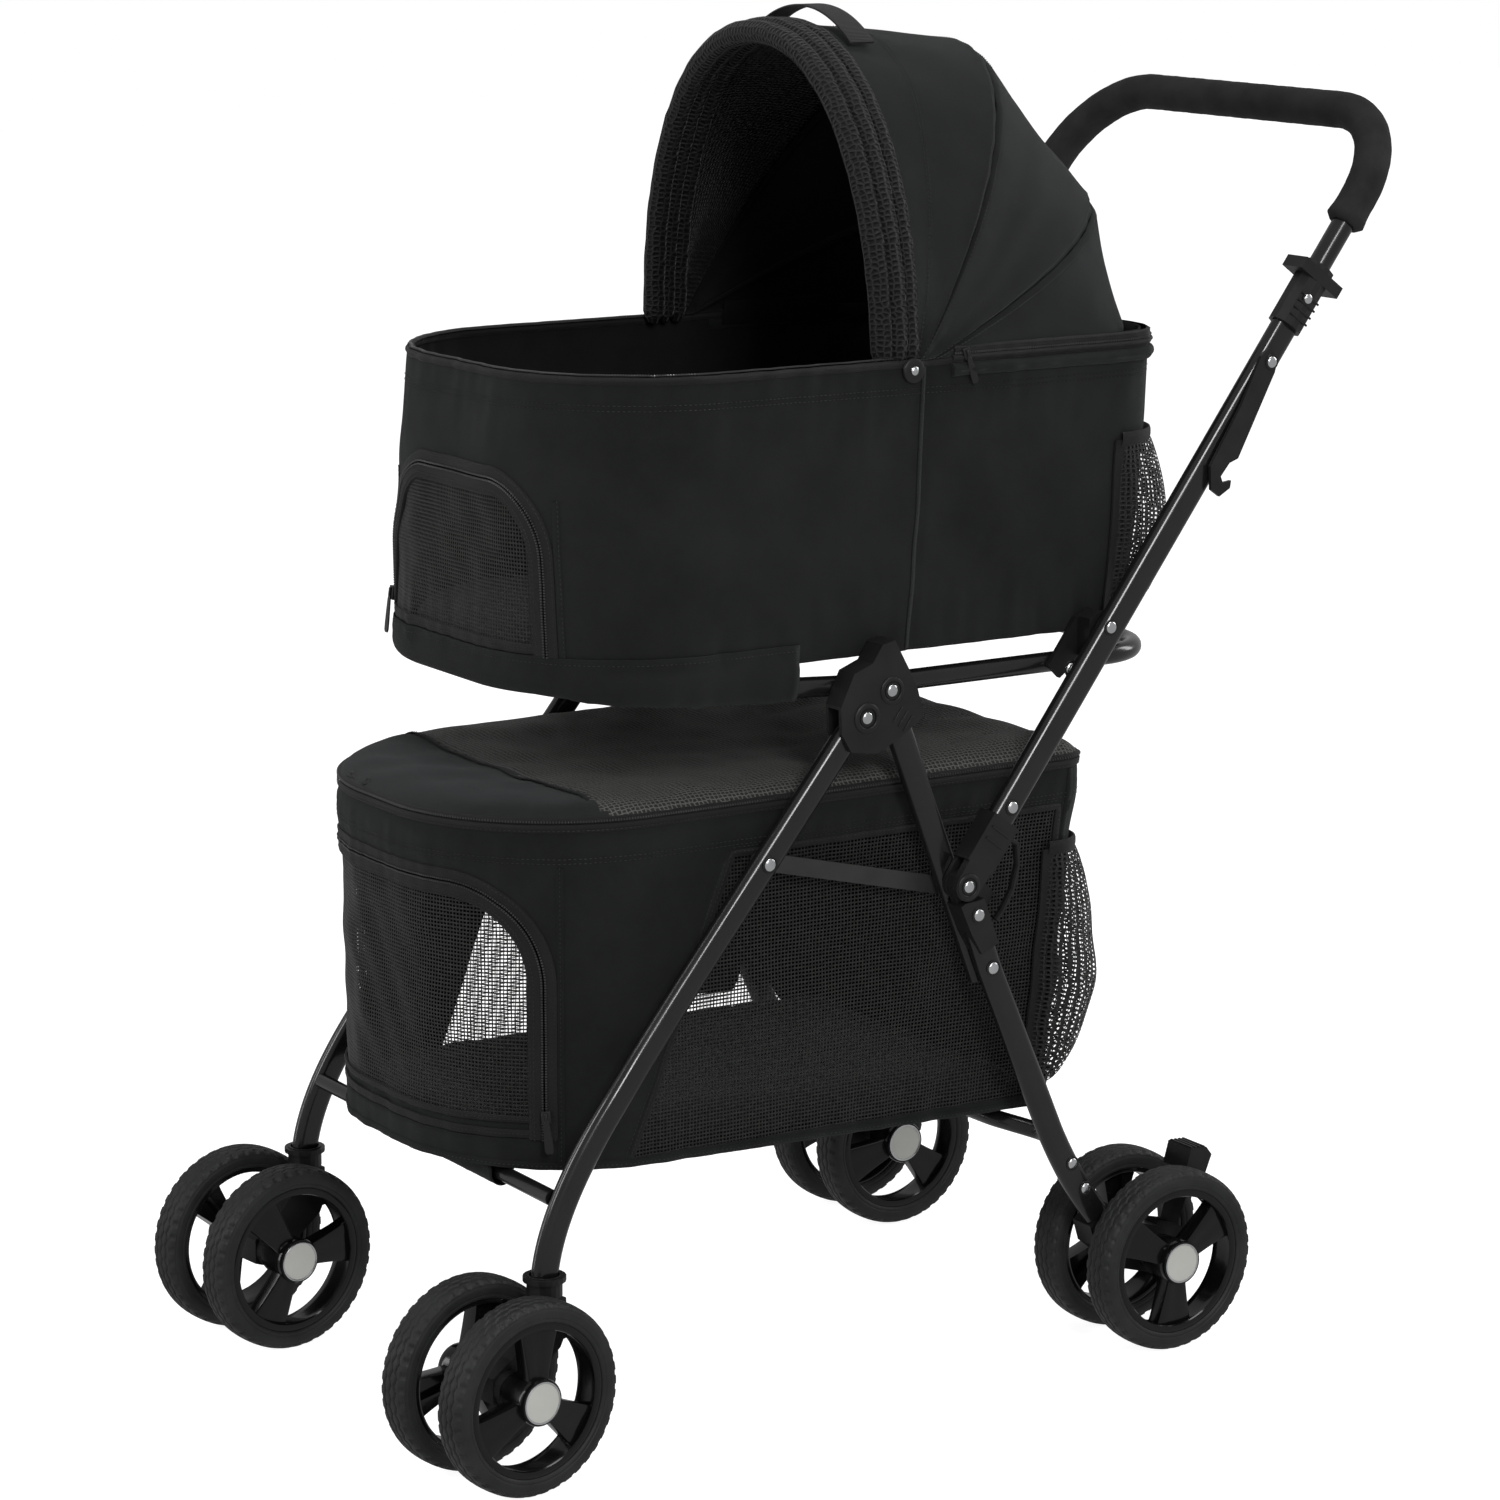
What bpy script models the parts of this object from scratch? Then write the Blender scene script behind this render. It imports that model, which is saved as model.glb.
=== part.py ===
# Double-deck folding pet stroller. Metres, +Z up, the front of the stroller
# faces -Y, the wheels stand on z = 0.
# Design coordinates: y = 0 at the front swivel axes, x = 0 on the centre plane.
import bpy
import bmesh
from math import pi, sin, cos, radians, hypot, atan2
from mathutils import Vector, Matrix

for _o in list(bpy.data.objects):
    bpy.data.objects.remove(_o, do_unlink=True)

OX, OY = -0.0035, -0.3462          # design origin in the row frame
GAP = 0.0003
COL = bpy.context.scene.collection

# ------------------------------------------------------------- main sizes
WHEEL_R = 0.075
WHEEL_OFF = 0.0355                 # wheel centre from the unit's centre
CASTER_X, CASTER_TRAIL, CASTER_TURN = 0.194, 0.043, radians(6.9)
REAR_X, REAR_Y = 0.196, 0.5625
XI, XO, TW = 0.18675, 0.20375, 0.0135   # inner and outer tube planes, tube thickness
TH = 0.022                              # tube height in the side plane
A = (0.309, 0.5645)                # carrier ring pivot, top of the rear leg
B = (0.286, 0.5455)                # front leg pivot
C = (0.2005, 0.4405)               # link to front leg
E = (0.372, 0.405)                 # handle fold pivot
F = (0.382, 0.381)                 # knuckle rivet
G = (0.3985, 0.3355)               # upper leg pivot
P = (0.401, 0.392)                 # link pivot stud
EAR = (0.480, 0.5635)              # handle to ring bracket
H = (0.508, 0.596)                 # bracket rivet on the handle
J = (0.6585, 0.7955)               # hook lever pivot
HD = (0.5945, 0.8041)              # handle direction from E
CAN = (0.345, 0.807)               # canopy pivot

# ------------------------------------------------------------- materials
def material(name, rgb, rough, metal=0.0):
    m = bpy.data.materials.new(name)
    m.use_nodes = True
    b = m.node_tree.nodes.get("Principled BSDF")
    b.inputs["Base Color"].default_value = (*rgb, 1.0)
    b.inputs["Roughness"].default_value = rough
    b.inputs["Metallic"].default_value = metal
    m.diffuse_color = (*rgb, 1.0)
    return m

M_TUBE = material("coated_tube", (0.012, 0.012, 0.013), 0.32, 0.35)
M_PLAS = material("black_plastic", (0.016, 0.016, 0.016), 0.5)
M_TYRE = material("tyre", (0.018, 0.018, 0.019), 0.75)
M_RIM = material("wheel_plastic", (0.010, 0.010, 0.010), 0.18)
M_FOAM = material("foam", (0.014, 0.014, 0.014), 0.9)
M_FAB = material("carrier_fabric", (0.013, 0.013, 0.014), 0.85)
M_MESH = material("mesh_fabric", (0.012, 0.012, 0.012), 0.8)
M_PAD = material("pad_fabric", (0.03, 0.03, 0.032), 0.9)
M_STEEL = material("link_steel", (0.02, 0.02, 0.02), 0.3, 0.6)

# ------------------------------------------------------------- helpers
def obj_from_bm(name, bm, mat=None):
    bmesh.ops.remove_doubles(bm, verts=bm.verts, dist=1e-6)
    bmesh.ops.recalc_face_normals(bm, faces=bm.faces)
    me = bpy.data.meshes.new(name)
    bm.to_mesh(me)
    bm.free()
    ob = bpy.data.objects.new(name, me)
    COL.objects.link(ob)
    if mat is not None:
        me.materials.append(mat)
    return ob


def loft(name, rings, mat=None, cyclic=False):
    """Closed skin over rings of equal point counts, ends capped."""
    bm = bmesh.new()
    vr = [[bm.verts.new(p) for p in r] for r in rings]
    n = len(vr[0])
    for i in range(len(vr) if cyclic else len(vr) - 1):
        a, b = vr[i], vr[(i + 1) % len(vr)]
        for k in range(n):
            bm.faces.new((a[k], a[(k + 1) % n], b[(k + 1) % n], b[k]))
    if not cyclic:
        bm.faces.new(list(reversed(vr[0])))
        bm.faces.new(vr[-1])
    return obj_from_bm(name, bm, mat)


def prism(name, poly, x0, x1, mat=None):
    """Polygon in the side plane (y, z) pulled from x0 to x1."""
    return loft(name, [[Vector((x0, y, z)) for y, z in poly],
                       [Vector((x1, y, z)) for y, z in poly]], mat)


def box(name, lo, hi, mat=None):
    return prism(name, [(lo[1], lo[2]), (hi[1], lo[2]), (hi[1], hi[2]), (lo[1], hi[2])], lo[0], hi[0], mat)


def cyl(name, c, axis, r, half, seg=16, mat=None):
    ax = Vector(axis).normalized()
    u = ax.orthogonal().normalized()
    v = ax.cross(u)
    c = Vector(c)
    rings = []
    for h in (-half, half):
        rings.append([c + ax * h + u * r * cos(2 * pi * k / seg) + v * r * sin(2 * pi * k / seg) for k in range(seg)])
    return loft(name, rings, mat)


def xcyl(name, yz, r, x0, x1, seg=16, mat=None):
    return cyl(name, ((x0 + x1) / 2, yz[0], yz[1]), (1, 0, 0), r, (x1 - x0) / 2, seg, mat)


def turned(name, prof, seg, mat=None):
    """Closed profile of (x, r) turned about the X axis."""
    rings = []
    for k in range(seg):
        a = 2 * pi * k / seg
        rings.append([Vector((x, r * cos(a), r * sin(a))) for x, r in prof])
    return loft(name, rings, mat, cyclic=True)


def stadium(a, b, n=12):
    """Flat-oval section: half sizes a (binormal) and b (normal), n points."""
    pts = []
    s, big, small = (1, b, a) if b > a else (0, a, b)
    flat = big - small
    h = n // 2
    for side in (1, -1):
        for k in range(h):
            t = -pi / 2 + pi * k / (h - 1)
            u, w = side * (flat + small * cos(t)), side * small * sin(t)
            pts.append((w, u) if s else (u, -w))
    return pts


def sweep(name, path, a, b, side, mat=None, n=12, sec=None):
    """Tube of flat-oval section along a path. `side` is the direction of half size a."""
    path = [Vector(p) for p in path]
    side = Vector(side)
    sec = sec or stadium(a, b, n)
    rings = []
    for i, p in enumerate(path):
        t = (path[min(i + 1, len(path) - 1)] - path[max(i - 1, 0)]).normalized()
        s = (side - t * side.dot(t)).normalized()
        nn = t.cross(s)
        # keep the tube's width through a bend
        k = 1.0
        if 0 < i < len(path) - 1:
            t0 = (path[i] - path[i - 1]).normalized()
            t1 = (path[i + 1] - path[i]).normalized()
            k = 1.0 / max(0.5, cos(t0.angle(t1) / 2))
        rings.append([p + s * u + nn * w * k for u, w in sec])
    return loft(name, rings, mat)


def boolean(ob, other, op):
    m = ob.modifiers.new("b", "BOOLEAN")
    m.operation = op
    m.solver = "EXACT"
    m.object = other
    bpy.context.view_layer.update()
    dg = bpy.context.evaluated_depsgraph_get()
    me = bpy.data.meshes.new_from_object(ob.evaluated_get(dg), preserve_all_data_layers=True, depsgraph=dg)
    ob.modifiers.clear()
    ob.data = me
    bpy.data.objects.remove(other, do_unlink=True)
    mats = [s for s in me.materials if s is not None]
    if mats:
        keep = mats[0]
        me.materials.clear()
        me.materials.append(keep)
        for p in me.polygons:
            p.material_index = 0
    return ob


def add(ob, *others):
    for o in others:
        boolean(ob, o, "UNION")
    return ob


def cut(ob, *others):
    for o in others:
        boolean(ob, o, "DIFFERENCE")
    return ob


def mirror(ob, name):
    me = ob.data.copy()
    me.transform(Matrix.Scale(-1.0, 4, (1, 0, 0)))
    me.flip_normals()
    o = bpy.data.objects.new(name, me)
    COL.objects.link(o)
    return o


stroller = bpy.data.objects.new("stroller_frame", None)
stroller.location = (OX, OY, 0)
COL.objects.link(stroller)


def axis_empty(name, loc, parent=None, rz=0.0):
    e = bpy.data.objects.new(name, None)
    COL.objects.link(e)
    e.parent = parent or stroller
    base = Vector((0, 0, 0)) if parent is None else PIV[parent.name]
    e.location = Vector(loc) - base
    e.rotation_euler = (0, 0, rz)
    PIV[name] = Vector(loc)
    return e


PIV = {}
AX_FOLD = axis_empty("axis_fold", (0, *E))
AX_UPPER = axis_empty("axis_upper_legs", (0, *G))
AX_FRONT = axis_empty("axis_front_legs", (0, *B), AX_UPPER)
AX_RING = axis_empty("axis_ring", (0, *A), AX_UPPER)
AX_LINK = axis_empty("axis_links", (0, *P))
AX_CANOPY = axis_empty("axis_canopy", (0, *CAN), AX_RING)


def put(ob, parent=None, smooth=35):
    """Give a piece built in design coordinates its origin on its axis."""
    if parent is None:
        ob.parent = stroller
    else:
        piv = PIV[parent.name]
        ob.data.transform(Matrix.Translation(-piv))
        ob.parent = parent
    ob.data.shade_smooth()
    ob.data.set_sharp_from_angle(angle=radians(smooth))
    return ob


def pair(ob, parent=None, base=None):
    base = base or ob.name[:-2]
    other = mirror(ob, base + "_l")
    put(ob, parent)
    put(other, parent)
    return ob, other


def on_handle(s, off=0.0):
    """Point on the handle's centre line, s metres above the fold pivot."""
    return (E[0] + HD[0] * s - HD[1] * off, E[1] + HD[1] * s + HD[0] * off)


# ------------------------------------------------------------- rear legs
def bezier(p0, p1, p2, n):
    return [tuple((1 - t) ** 2 * p0[i] + 2 * t * (1 - t) * p1[i] + t * t * p2[i] for i in range(len(p0)))
            for t in [k / n for k in range(n + 1)]]


low = [(0.3785, 0.3895), G] + bezier((0.462, 0.190), (0.482, 0.148), (0.509, 0.114), 4)
leg_low = sweep("rear_leg_lower_r", [(XO, y, z) for y, z in low], TW / 2, TH / 2, (1, 0, 0), M_TUBE)
cut(leg_low, xcyl("c", F, 0.0033, 0.19, 0.22, 12), xcyl("c", G, 0.0033, 0.19, 0.22, 12))

ad = Vector((G[0] - A[0], G[1] - A[1])).normalized()
up0 = (A[0] - ad.x * 0.013, A[1] - ad.y * 0.013)
up1 = (G[0] + ad.x * 0.013, G[1] + ad.y * 0.013)
leg_up = sweep("rear_leg_upper_r", [(XI, *up0), (XI, *up1)], TW / 2, TH / 2, (1, 0, 0), M_TUBE)
cut(leg_up, xcyl("c", A, 0.0043, 0.17, 0.21, 12))
add(leg_up, xcyl("g_pin", G, 0.0030, XI - 0.004, XO + TW / 2 + 0.0012, 12))

# hinge cap: two cheeks joined by a saddle, over the tops of both legs
cap_poly = [(0.262, 0.556), (0.274, 0.581), (0.291, 0.5875), (0.300, 0.601), (0.3115, 0.6035), (0.324, 0.581),
            (0.333, 0.5635), (0.339, 0.541), (0.317, 0.527), (0.296, 0.5165), (0.272, 0.520), (0.263, 0.535)]
cap = prism("hinge_cap_r", cap_poly, 0.1764, 0.1975, M_PLAS)
leg_slot = [(0.240, 0.500), (0.268, 0.568), (0.296, 0.5795), (0.3085, 0.5855), (0.3180, 0.5795), (0.345, 0.5640), (0.370, 0.500)]
cut(cap, prism("c", leg_slot, 0.1797, 0.1938))
add(cap, xcyl("pa", A, 0.0040, 0.1620, 0.1965, 12), xcyl("pb", B, 0.0040, 0.1770, 0.1965, 12))

# knuckle on the lower leg: cheeks, tongue to the fold pivot, link stud
kn_poly = [(0.3650, 0.3895), (0.3690, 0.3918), (0.3800, 0.3925), (0.3870, 0.3940), (0.3945, 0.3750), (0.4015, 0.3560), (0.3855, 0.3490), (0.3755, 0.3660)]
knl = prism("knuckle_lower_r", kn_poly, 0.1940, 0.2135, M_PLAS)
leg_clear = sweep("c", [(XO, 0.3783, 0.3902), (XO, *G), (XO, 0.42, 0.286)], TW / 2 + GAP, TH / 2 + GAP, (1, 0, 0))
cut(knl, leg_clear)
tongue = prism("t", [(0.3607, 0.4050), (0.3640, 0.3970), (0.3665, 0.3900), (0.3735, 0.3885), (0.3850, 0.3935), (0.3830, 0.4050),
                     (0.3800, 0.4130), (0.3720, 0.4163), (0.3640, 0.4130)], 0.1985, 0.2065)
add(knl, tongue)
stud = prism("s", [(0.385, 0.380), (0.3895, 0.3965), (0.4010, 0.4005), (0.4075, 0.3930), (0.4045, 0.3850), (0.394, 0.372)], 0.1942, 0.1966)
add(knl, stud, xcyl("sp", P, 0.0040, 0.1757, 0.1960, 12), xcyl("pe", E, 0.0035, 0.1950, 0.2128, 12),
    xcyl("pf", F, 0.0030, 0.1945, 0.2130, 12))
cut(knl, leg_clear_b := sweep("c", [(XO, 0.3783, 0.3902), (XO, *G)], 0.0001, 0.0001, (1, 0, 0)))

# knuckle on the handle: socket, two cheeks on the pivot, guard loop
hn = Vector((-HD[1], HD[0]))


def hp(s, o):
    q = on_handle(s, o)
    return q


kup = prism("knuckle_upper_r", [hp(0.0175, -0.0140), hp(0.060, -0.0140), hp(0.060, 0.0140), hp(0.0175, 0.0140)], 0.1940, 0.2135, M_PLAS)
cheek = [hp(0.025, -0.0125), hp(0.025, 0.0125)] + \
        [(E[0] + 0.0118 * cos(a), E[1] + 0.0118 * sin(a)) for a in
         [atan2(HD[1], HD[0]) + pi / 2 + pi * k / 8 for k in range(9)]]
add(kup, prism("k1", cheek, 0.2068, 0.2135), prism("k2", cheek, 0.1942, 0.1982))
# guard arc swept behind the joint
gp = [hp(0.050, -0.0120), (0.4225, 0.4320), (0.4240, 0.4150), (0.4190, 0.3950), (0.4090, 0.3790), (0.4035, 0.3730)]
guard = sweep("g", [(0.2050, y, z) for y, z in gp], 0.0035, 0.0020, (1, 0, 0), n=8)
add(kup, guard)
cut(kup, sweep("c", [(XO, *hp(0.0297, 0)), (XO, *hp(0.09, 0))], TW / 2 + GAP, 0.012 + GAP, (1, 0, 0)),
    prism("c", [(0.3480, 0.385), (0.3925, 0.385), (0.3925, 0.4050), (0.3860, 0.4185), (0.3720, 0.4225), (0.3560, 0.4180)], 0.1982, 0.2068),
    xcyl("c", E, 0.0038, 0.190, 0.22, 12))

pair(leg_low)
pair(leg_up, AX_UPPER)
pair(cap, AX_UPPER)
pair(knl)
pair(kup, AX_FOLD)

# rear lower cross tube, a shallow U between the lower legs
half = [(0.1966, 0.4655, 0.1850), (0.1860, 0.4655, 0.1850), (0.176, 0.4600, 0.1868), (0.163, 0.4510, 0.1895), (0.148, 0.4450, 0.1910), (0.125, 0.4430, 0.1915)]
cross = [Vector(p) for p in half] + [Vector((-p[0], p[1], p[2])) for p in reversed(half)]
put(sweep("rear_cross_tube", cross, 0.0070, 0.0070, (0, 0, 1), M_TUBE))

# rear axle housing with its pressed-in axle
hz = [(0.4994, 0.1062), (0.5191, 0.1212), (0.545, 0.1020), (0.572, 0.0930), (0.5795, 0.0850), (0.5790, 0.0660),
      (0.562, 0.0560), (0.535, 0.0640), (0.505, 0.0880)]
hz_o = [(0.50945 - 0.8 * 0.0125, 0.1134 - 0.6 * 0.0125), (0.50945 + 0.8 * 0.0125, 0.1134 + 0.6 * 0.0125)] + hz[2:]
rh = prism("rear_axle_housing_r", hz_o, 0.1860, 0.2095, M_PLAS)
ears = [(0.560, 0.078), (0.575, 0.096), (0.588, 0.0925), (0.5965, 0.0880), (0.5965, 0.0820), (0.589, 0.0770), (0.570, 0.0660)]
add(rh, prism("e1", ears, 0.1862, 0.1894), prism("e2", ears, 0.2026, 0.2060),
    xcyl("hub", (REAR_Y, WHEEL_R), 0.0140, REAR_X - 0.0190, REAR_X + 0.0190, 20),
    xcyl("axle", (REAR_Y, WHEEL_R), 0.0040, REAR_X - 0.0470, REAR_X + 0.0470, 12),
    xcyl("pin", (0.590, 0.085), 0.0028, 0.1880, 0.2040, 10))
pair(rh)

# brake pedal
pd = prism("brake_pedal_r", [(0.5850, 0.0890), (0.5950, 0.0890), (0.6130, 0.1390), (0.6070, 0.1430), (0.6000, 0.1400)], 0.1900, 0.2020, M_PLAS)
add(pd, xcyl("d", (0.590, 0.085), 0.0062, 0.1900, 0.2020, 14),
    prism("pad", [(0.5950, 0.1370), (0.6150, 0.1310), (0.6215, 0.1470), (0.6160, 0.1540), (0.6000, 0.1550)], 0.1810, 0.2110))
cut(pd, xcyl("c", (0.590, 0.085), 0.0032, 0.18, 0.21, 10))
ax_pr = axis_empty("axis_pedal_r", (REAR_X, 0.590, 0.085))
ax_pl = axis_empty("axis_pedal_l", (-REAR_X, 0.590, 0.085))
pdl = mirror(pd, "brake_pedal_l")
put(pd, ax_pr)
put(pdl, ax_pl)

# ------------------------------------------------------------- front legs
d0 = 0.0290
fl = [(XI, B[0] + 0.0082, B[1] + 0.0100), (XI, *C), (XI, 0.1150, 0.3355), (0.1905, 0.0640, 0.2730)]
for k, (y, z) in enumerate(bezier((0.0300, 0.2310), (0.0010, 0.1955), (0.0, 0.1500), 5)):
    fl.append((0.1925 + 0.0015 * min(1, k / 2), y, z))
fl.append((CASTER_X, 0.0, 0.1403))
fleg = sweep("front_leg_r", fl, TW / 2, TH / 2, (1, 0, 0), M_TUBE)
cut(fleg, xcyl("c", B, 0.0043, 0.17, 0.21, 12))
pair(fleg, AX_FRONT)

FC = (0.0125, 0.2065)
put(sweep("front_cross_tube", [(-0.1853, *FC), (0, *FC), (0.1853, *FC)], 0.0062, 0.0062, (0, 0, 1), M_TUBE), AX_FRONT)

# swivel socket riveted on the leg's end
sock = cyl("swivel_socket_r", (CASTER_X, 0, 0.1435), (0, 0, 1), 0.0136, 0.0083, 20, M_PLAS)
add(sock, cyl("f", (CASTER_X, 0, 0.1490), (0, 0, 1), 0.0165, 0.0020, 20))
cut(sock, cyl("c", (CASTER_X, 0, 0.1502), (0, 0, 1), 0.0117, 0.0102, 20), cyl("c", (CASTER_X, 0, 0.1350), (0, 0, 1), 0.0043, 0.0100, 12))
pair(sock, AX_FRONT)

# link bars
ln = Vector((C[0] - P[0], C[1] - P[1]))
ll = ln.length
lu = ln.normalized()
lv = Vector((-lu.y, lu.x))
link_poly = []
for cx, s0 in ((0.0, 1), (ll, -1)):
    for k in range(7):
        a = pi / 2 * s0 + pi * k / 6
        q = Vector(P) + lu * (cx + 0.0070 * cos(a)) + lv * 0.0070 * sin(a)
        link_poly.append((q.x, q.y))
link = prism("link_bar_r", link_poly, 0.1763, 0.1795, M_STEEL)
cut(link, xcyl("c", P, 0.0043, 0.17, 0.19, 12))
pair(link, AX_LINK)

# ------------------------------------------------------------- casters
# fork with its pressed-in axle, in the swivel's own frame
def caster(name, sx):
    e = axis_empty("axis_" + name, (sx * CASTER_X, 0, 0), AX_FRONT, CASTER_TURN)
    fork = prism(name, [(0.0115, 0.1340), (-0.0115, 0.1340), (-0.0190, 0.1180), (-0.0400, 0.0960), (-0.0575, 0.0850), (-0.0575, 0.0650),
                        (-0.0430, 0.0600), (-0.0200, 0.0760), (0.0060, 0.0960), (0.0130, 0.1100)], -0.0115, 0.0115, M_PLAS)
    add(fork, cyl("s", (0, 0, 0.1240), (0, 0, 1), 0.0125, 0.0100, 20), cyl("p", (0, 0, 0.1360), (0, 0, 1), 0.0040, 0.0035, 12),
        xcyl("hub", (-CASTER_TRAIL, WHEEL_R), 0.0140, -0.0190, 0.0190, 20),
        xcyl("axle", (-CASTER_TRAIL, WHEEL_R), 0.0040, -0.0470, 0.0470, 12),
        prism("lock", [(0.008, 0.1120), (0.0270, 0.1060), (0.0270, 0.1010), (0.006, 0.0990)], -0.0065, 0.0065))
    fork.parent = e
    fork.data.shade_smooth()
    fork.data.set_sharp_from_angle(angle=radians(35))
    return e


ax_cr = caster("caster_fork_r", 1)
ax_cl = caster("caster_fork_l", -1)

# ------------------------------------------------------------- wheels
tyre = turned("tyre", [(-0.0135, 0.0598), (0.0135, 0.0598), (0.0150, 0.0660), (0.0120, 0.0735), (0.0, WHEEL_R),
                       (-0.0120, 0.0735), (-0.0150, 0.0660)], 28, M_TYRE)
tyre_me = tyre.data
tyre_me.shade_smooth()
tyre_me.set_sharp_from_angle(angle=radians(45))
bpy.data.objects.remove(tyre, do_unlink=True)
rim = turned("rim", [(-0.0125, 0.0535), (0.0125, 0.0535), (0.0125, 0.0594), (-0.0125, 0.0594)], 28, M_RIM)
hub = cyl("h", (0.00225, 0, 0), (1, 0, 0), 0.0186, 0.01625, 20)
add(rim, hub)
for k in range(3):
    a = pi / 2 + 2 * pi * k / 3
    u, w = Vector((0, cos(a), sin(a))), Vector((0, -sin(a), cos(a)))
    r0, r1 = 0.0100, 0.0565
    rings = []
    for r, hw, x0, x1 in ((r0, 0.0100, -0.002, 0.0120), (r1, 0.0170, -0.002, 0.0095)):
        rings.append([Vector((x0, 0, 0)) + u * r - w * hw, Vector((x0, 0, 0)) + u * r + w * hw,
                      Vector((x1, 0, 0)) + u * r + w * hw, Vector((x1, 0, 0)) + u * r - w * hw])
    add(rim, loft("s", rings))
cut(rim, cyl("c", (-0.005, 0, 0), (1, 0, 0), 0.0043, 0.0170, 12))
rim_me = rim.data
rim_me.shade_smooth()
rim_me.set_sharp_from_angle(angle=radians(35))
bpy.data.objects.remove(rim, do_unlink=True)

# how far each wheel has rolled, in degrees
PHASE = {"fr_a": -5, "fr_b": 20, "fl_a": 34, "fl_b": -40, "rr_a": 60, "rr_b": 0, "rl_a": -12, "rl_b": 25}
for unit, parent, cen in (("fr", ax_cr, (0, -CASTER_TRAIL, WHEEL_R)), ("fl", ax_cl, (0, -CASTER_TRAIL, WHEEL_R)),
                          ("rr", stroller, (REAR_X, REAR_Y, WHEEL_R)), ("rl", stroller, (-REAR_X, REAR_Y, WHEEL_R))):
    for side, s in (("a", 1), ("b", -1)):
        for what, me in (("tyre", tyre_me), ("rim", rim_me)):
            o = bpy.data.objects.new("%s_%s_%s" % (what, unit, side), me)
            COL.objects.link(o)
            o.parent = parent
            o.location = Vector(cen) + Vector((s * WHEEL_OFF, 0, 0))
            o.rotation_euler = (radians(PHASE[unit + "_" + side]), 0, 0 if s > 0 else pi)

# ------------------------------------------------------------- handle
hl = sweep("handle_lower_r", [(XO, *on_handle(0.0300)), (XO, *on_handle(0.5530))], TW / 2, 0.0120, (1, 0, 0), M_TUBE)
pair(hl, AX_FOLD)

BAR = 0.7188                       # slant height of the push bar
def u_path(r, step, s0):
    pts = [Vector((XO, *on_handle(s0)))]
    c = Vector((XO - r, *on_handle(BAR - r)))
    up = Vector((0, HD[0], HD[1]))
    for k in range(step + 1):
        a = pi / 2 * k / step
        pts.append(c + Vector((r * cos(a), 0, 0)) + up * r * sin(a))
    return pts + [Vector((-p.x, p.y, p.z)) for p in reversed(pts)]


RB = 0.080
nrm = Vector((0, -HD[1], HD[0]))
hu = sweep("handle_upper_tube", u_path(RB, 7, 0.5533), 0.0093, 0.0093, nrm, M_TUBE)
put(hu, AX_FOLD)

# foam grip: a sleeve round the bend and the bar
gpts = u_path(RB, 7, 0.6150)
def ring_pts(path, r, n):
    out = []
    for i, p in enumerate(path):
        t = (path[min(i + 1, len(path) - 1)] - path[max(i - 1, 0)]).normalized()
        nn = t.cross(nrm).normalized()
        out.append([p + nrm * r * cos(2 * pi * k / n) + nn * r * sin(2 * pi * k / n) for k in range(n)])
    return out


outer = ring_pts(gpts, 0.0150, 12)
inner = ring_pts(gpts, 0.0099, 12)
bm = bmesh.new()
vo = [[bm.verts.new(p) for p in r] for r in outer]
vi = [[bm.verts.new(p) for p in r] for r in inner]
n = 12
for vr, flip in ((vo, False), (vi, True)):
    for i in range(len(vr) - 1):
        for k in range(n):
            f = (vr[i][k], vr[i][(k + 1) % n], vr[i + 1][(k + 1) % n], vr[i + 1][k])
            bm.faces.new(tuple(reversed(f)) if flip else f)
for i in (0, -1):
    for k in range(n):
        f = (vo[i][k], vi[i][k], vi[i][(k + 1) % n], vo[i][(k + 1) % n])
        bm.faces.new(f)
put(obj_from_bm("foam_grip", bm, M_FOAM), AX_FOLD)

# sliding fold-release collar on each handle tube, with finger wings
col = sweep("collar_r", [(XO, *on_handle(0.5180)), (XO, *on_handle(0.5740))], 0.0122, 0.0150, (1, 0, 0), M_PLAS)
wing = prism("w", [hp(0.5600, -0.0230), hp(0.5700, -0.0230), hp(0.5700, 0.0230), hp(0.5600, 0.0230)], XO - 0.0122, XO + 0.0122)
add(col, wing)
cut(col, sweep("c", [(XO, *on_handle(0.50)), (XO, *on_handle(0.5540))], TW / 2 + GAP, 0.0123, (1, 0, 0)),
    cyl("c", (XO, *on_handle(0.5660)), (0, *HD), 0.0097, 0.0340, 20))
pair(col, AX_FOLD)

# ear bracket: riveted on the handle, reaches in to the carrier ring
ear = prism("ear_bracket_r", [(EAR[0] - 0.0105, EAR[1] + 0.001), (EAR[0] - 0.004, EAR[1] + 0.0100), (H[0] - 0.0120, H[1] + 0.0050),
                              (H[0] + 0.0020, H[1] + 0.0110), (H[0] + 0.0095, H[1] + 0.0010), (H[0] - 0.0010, H[1] - 0.0120),
                              (EAR[0] + 0.0105, EAR[1] - 0.0030), (EAR[0] + 0.001, EAR[1] - 0.0100)], 0.1768, 0.1967, M_PLAS)
cut(ear, box("c", (0.1810, EAR[1] - 1, 0.0), (0.20, 0.4975, 1.0)))
pair(ear, AX_FOLD)

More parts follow.
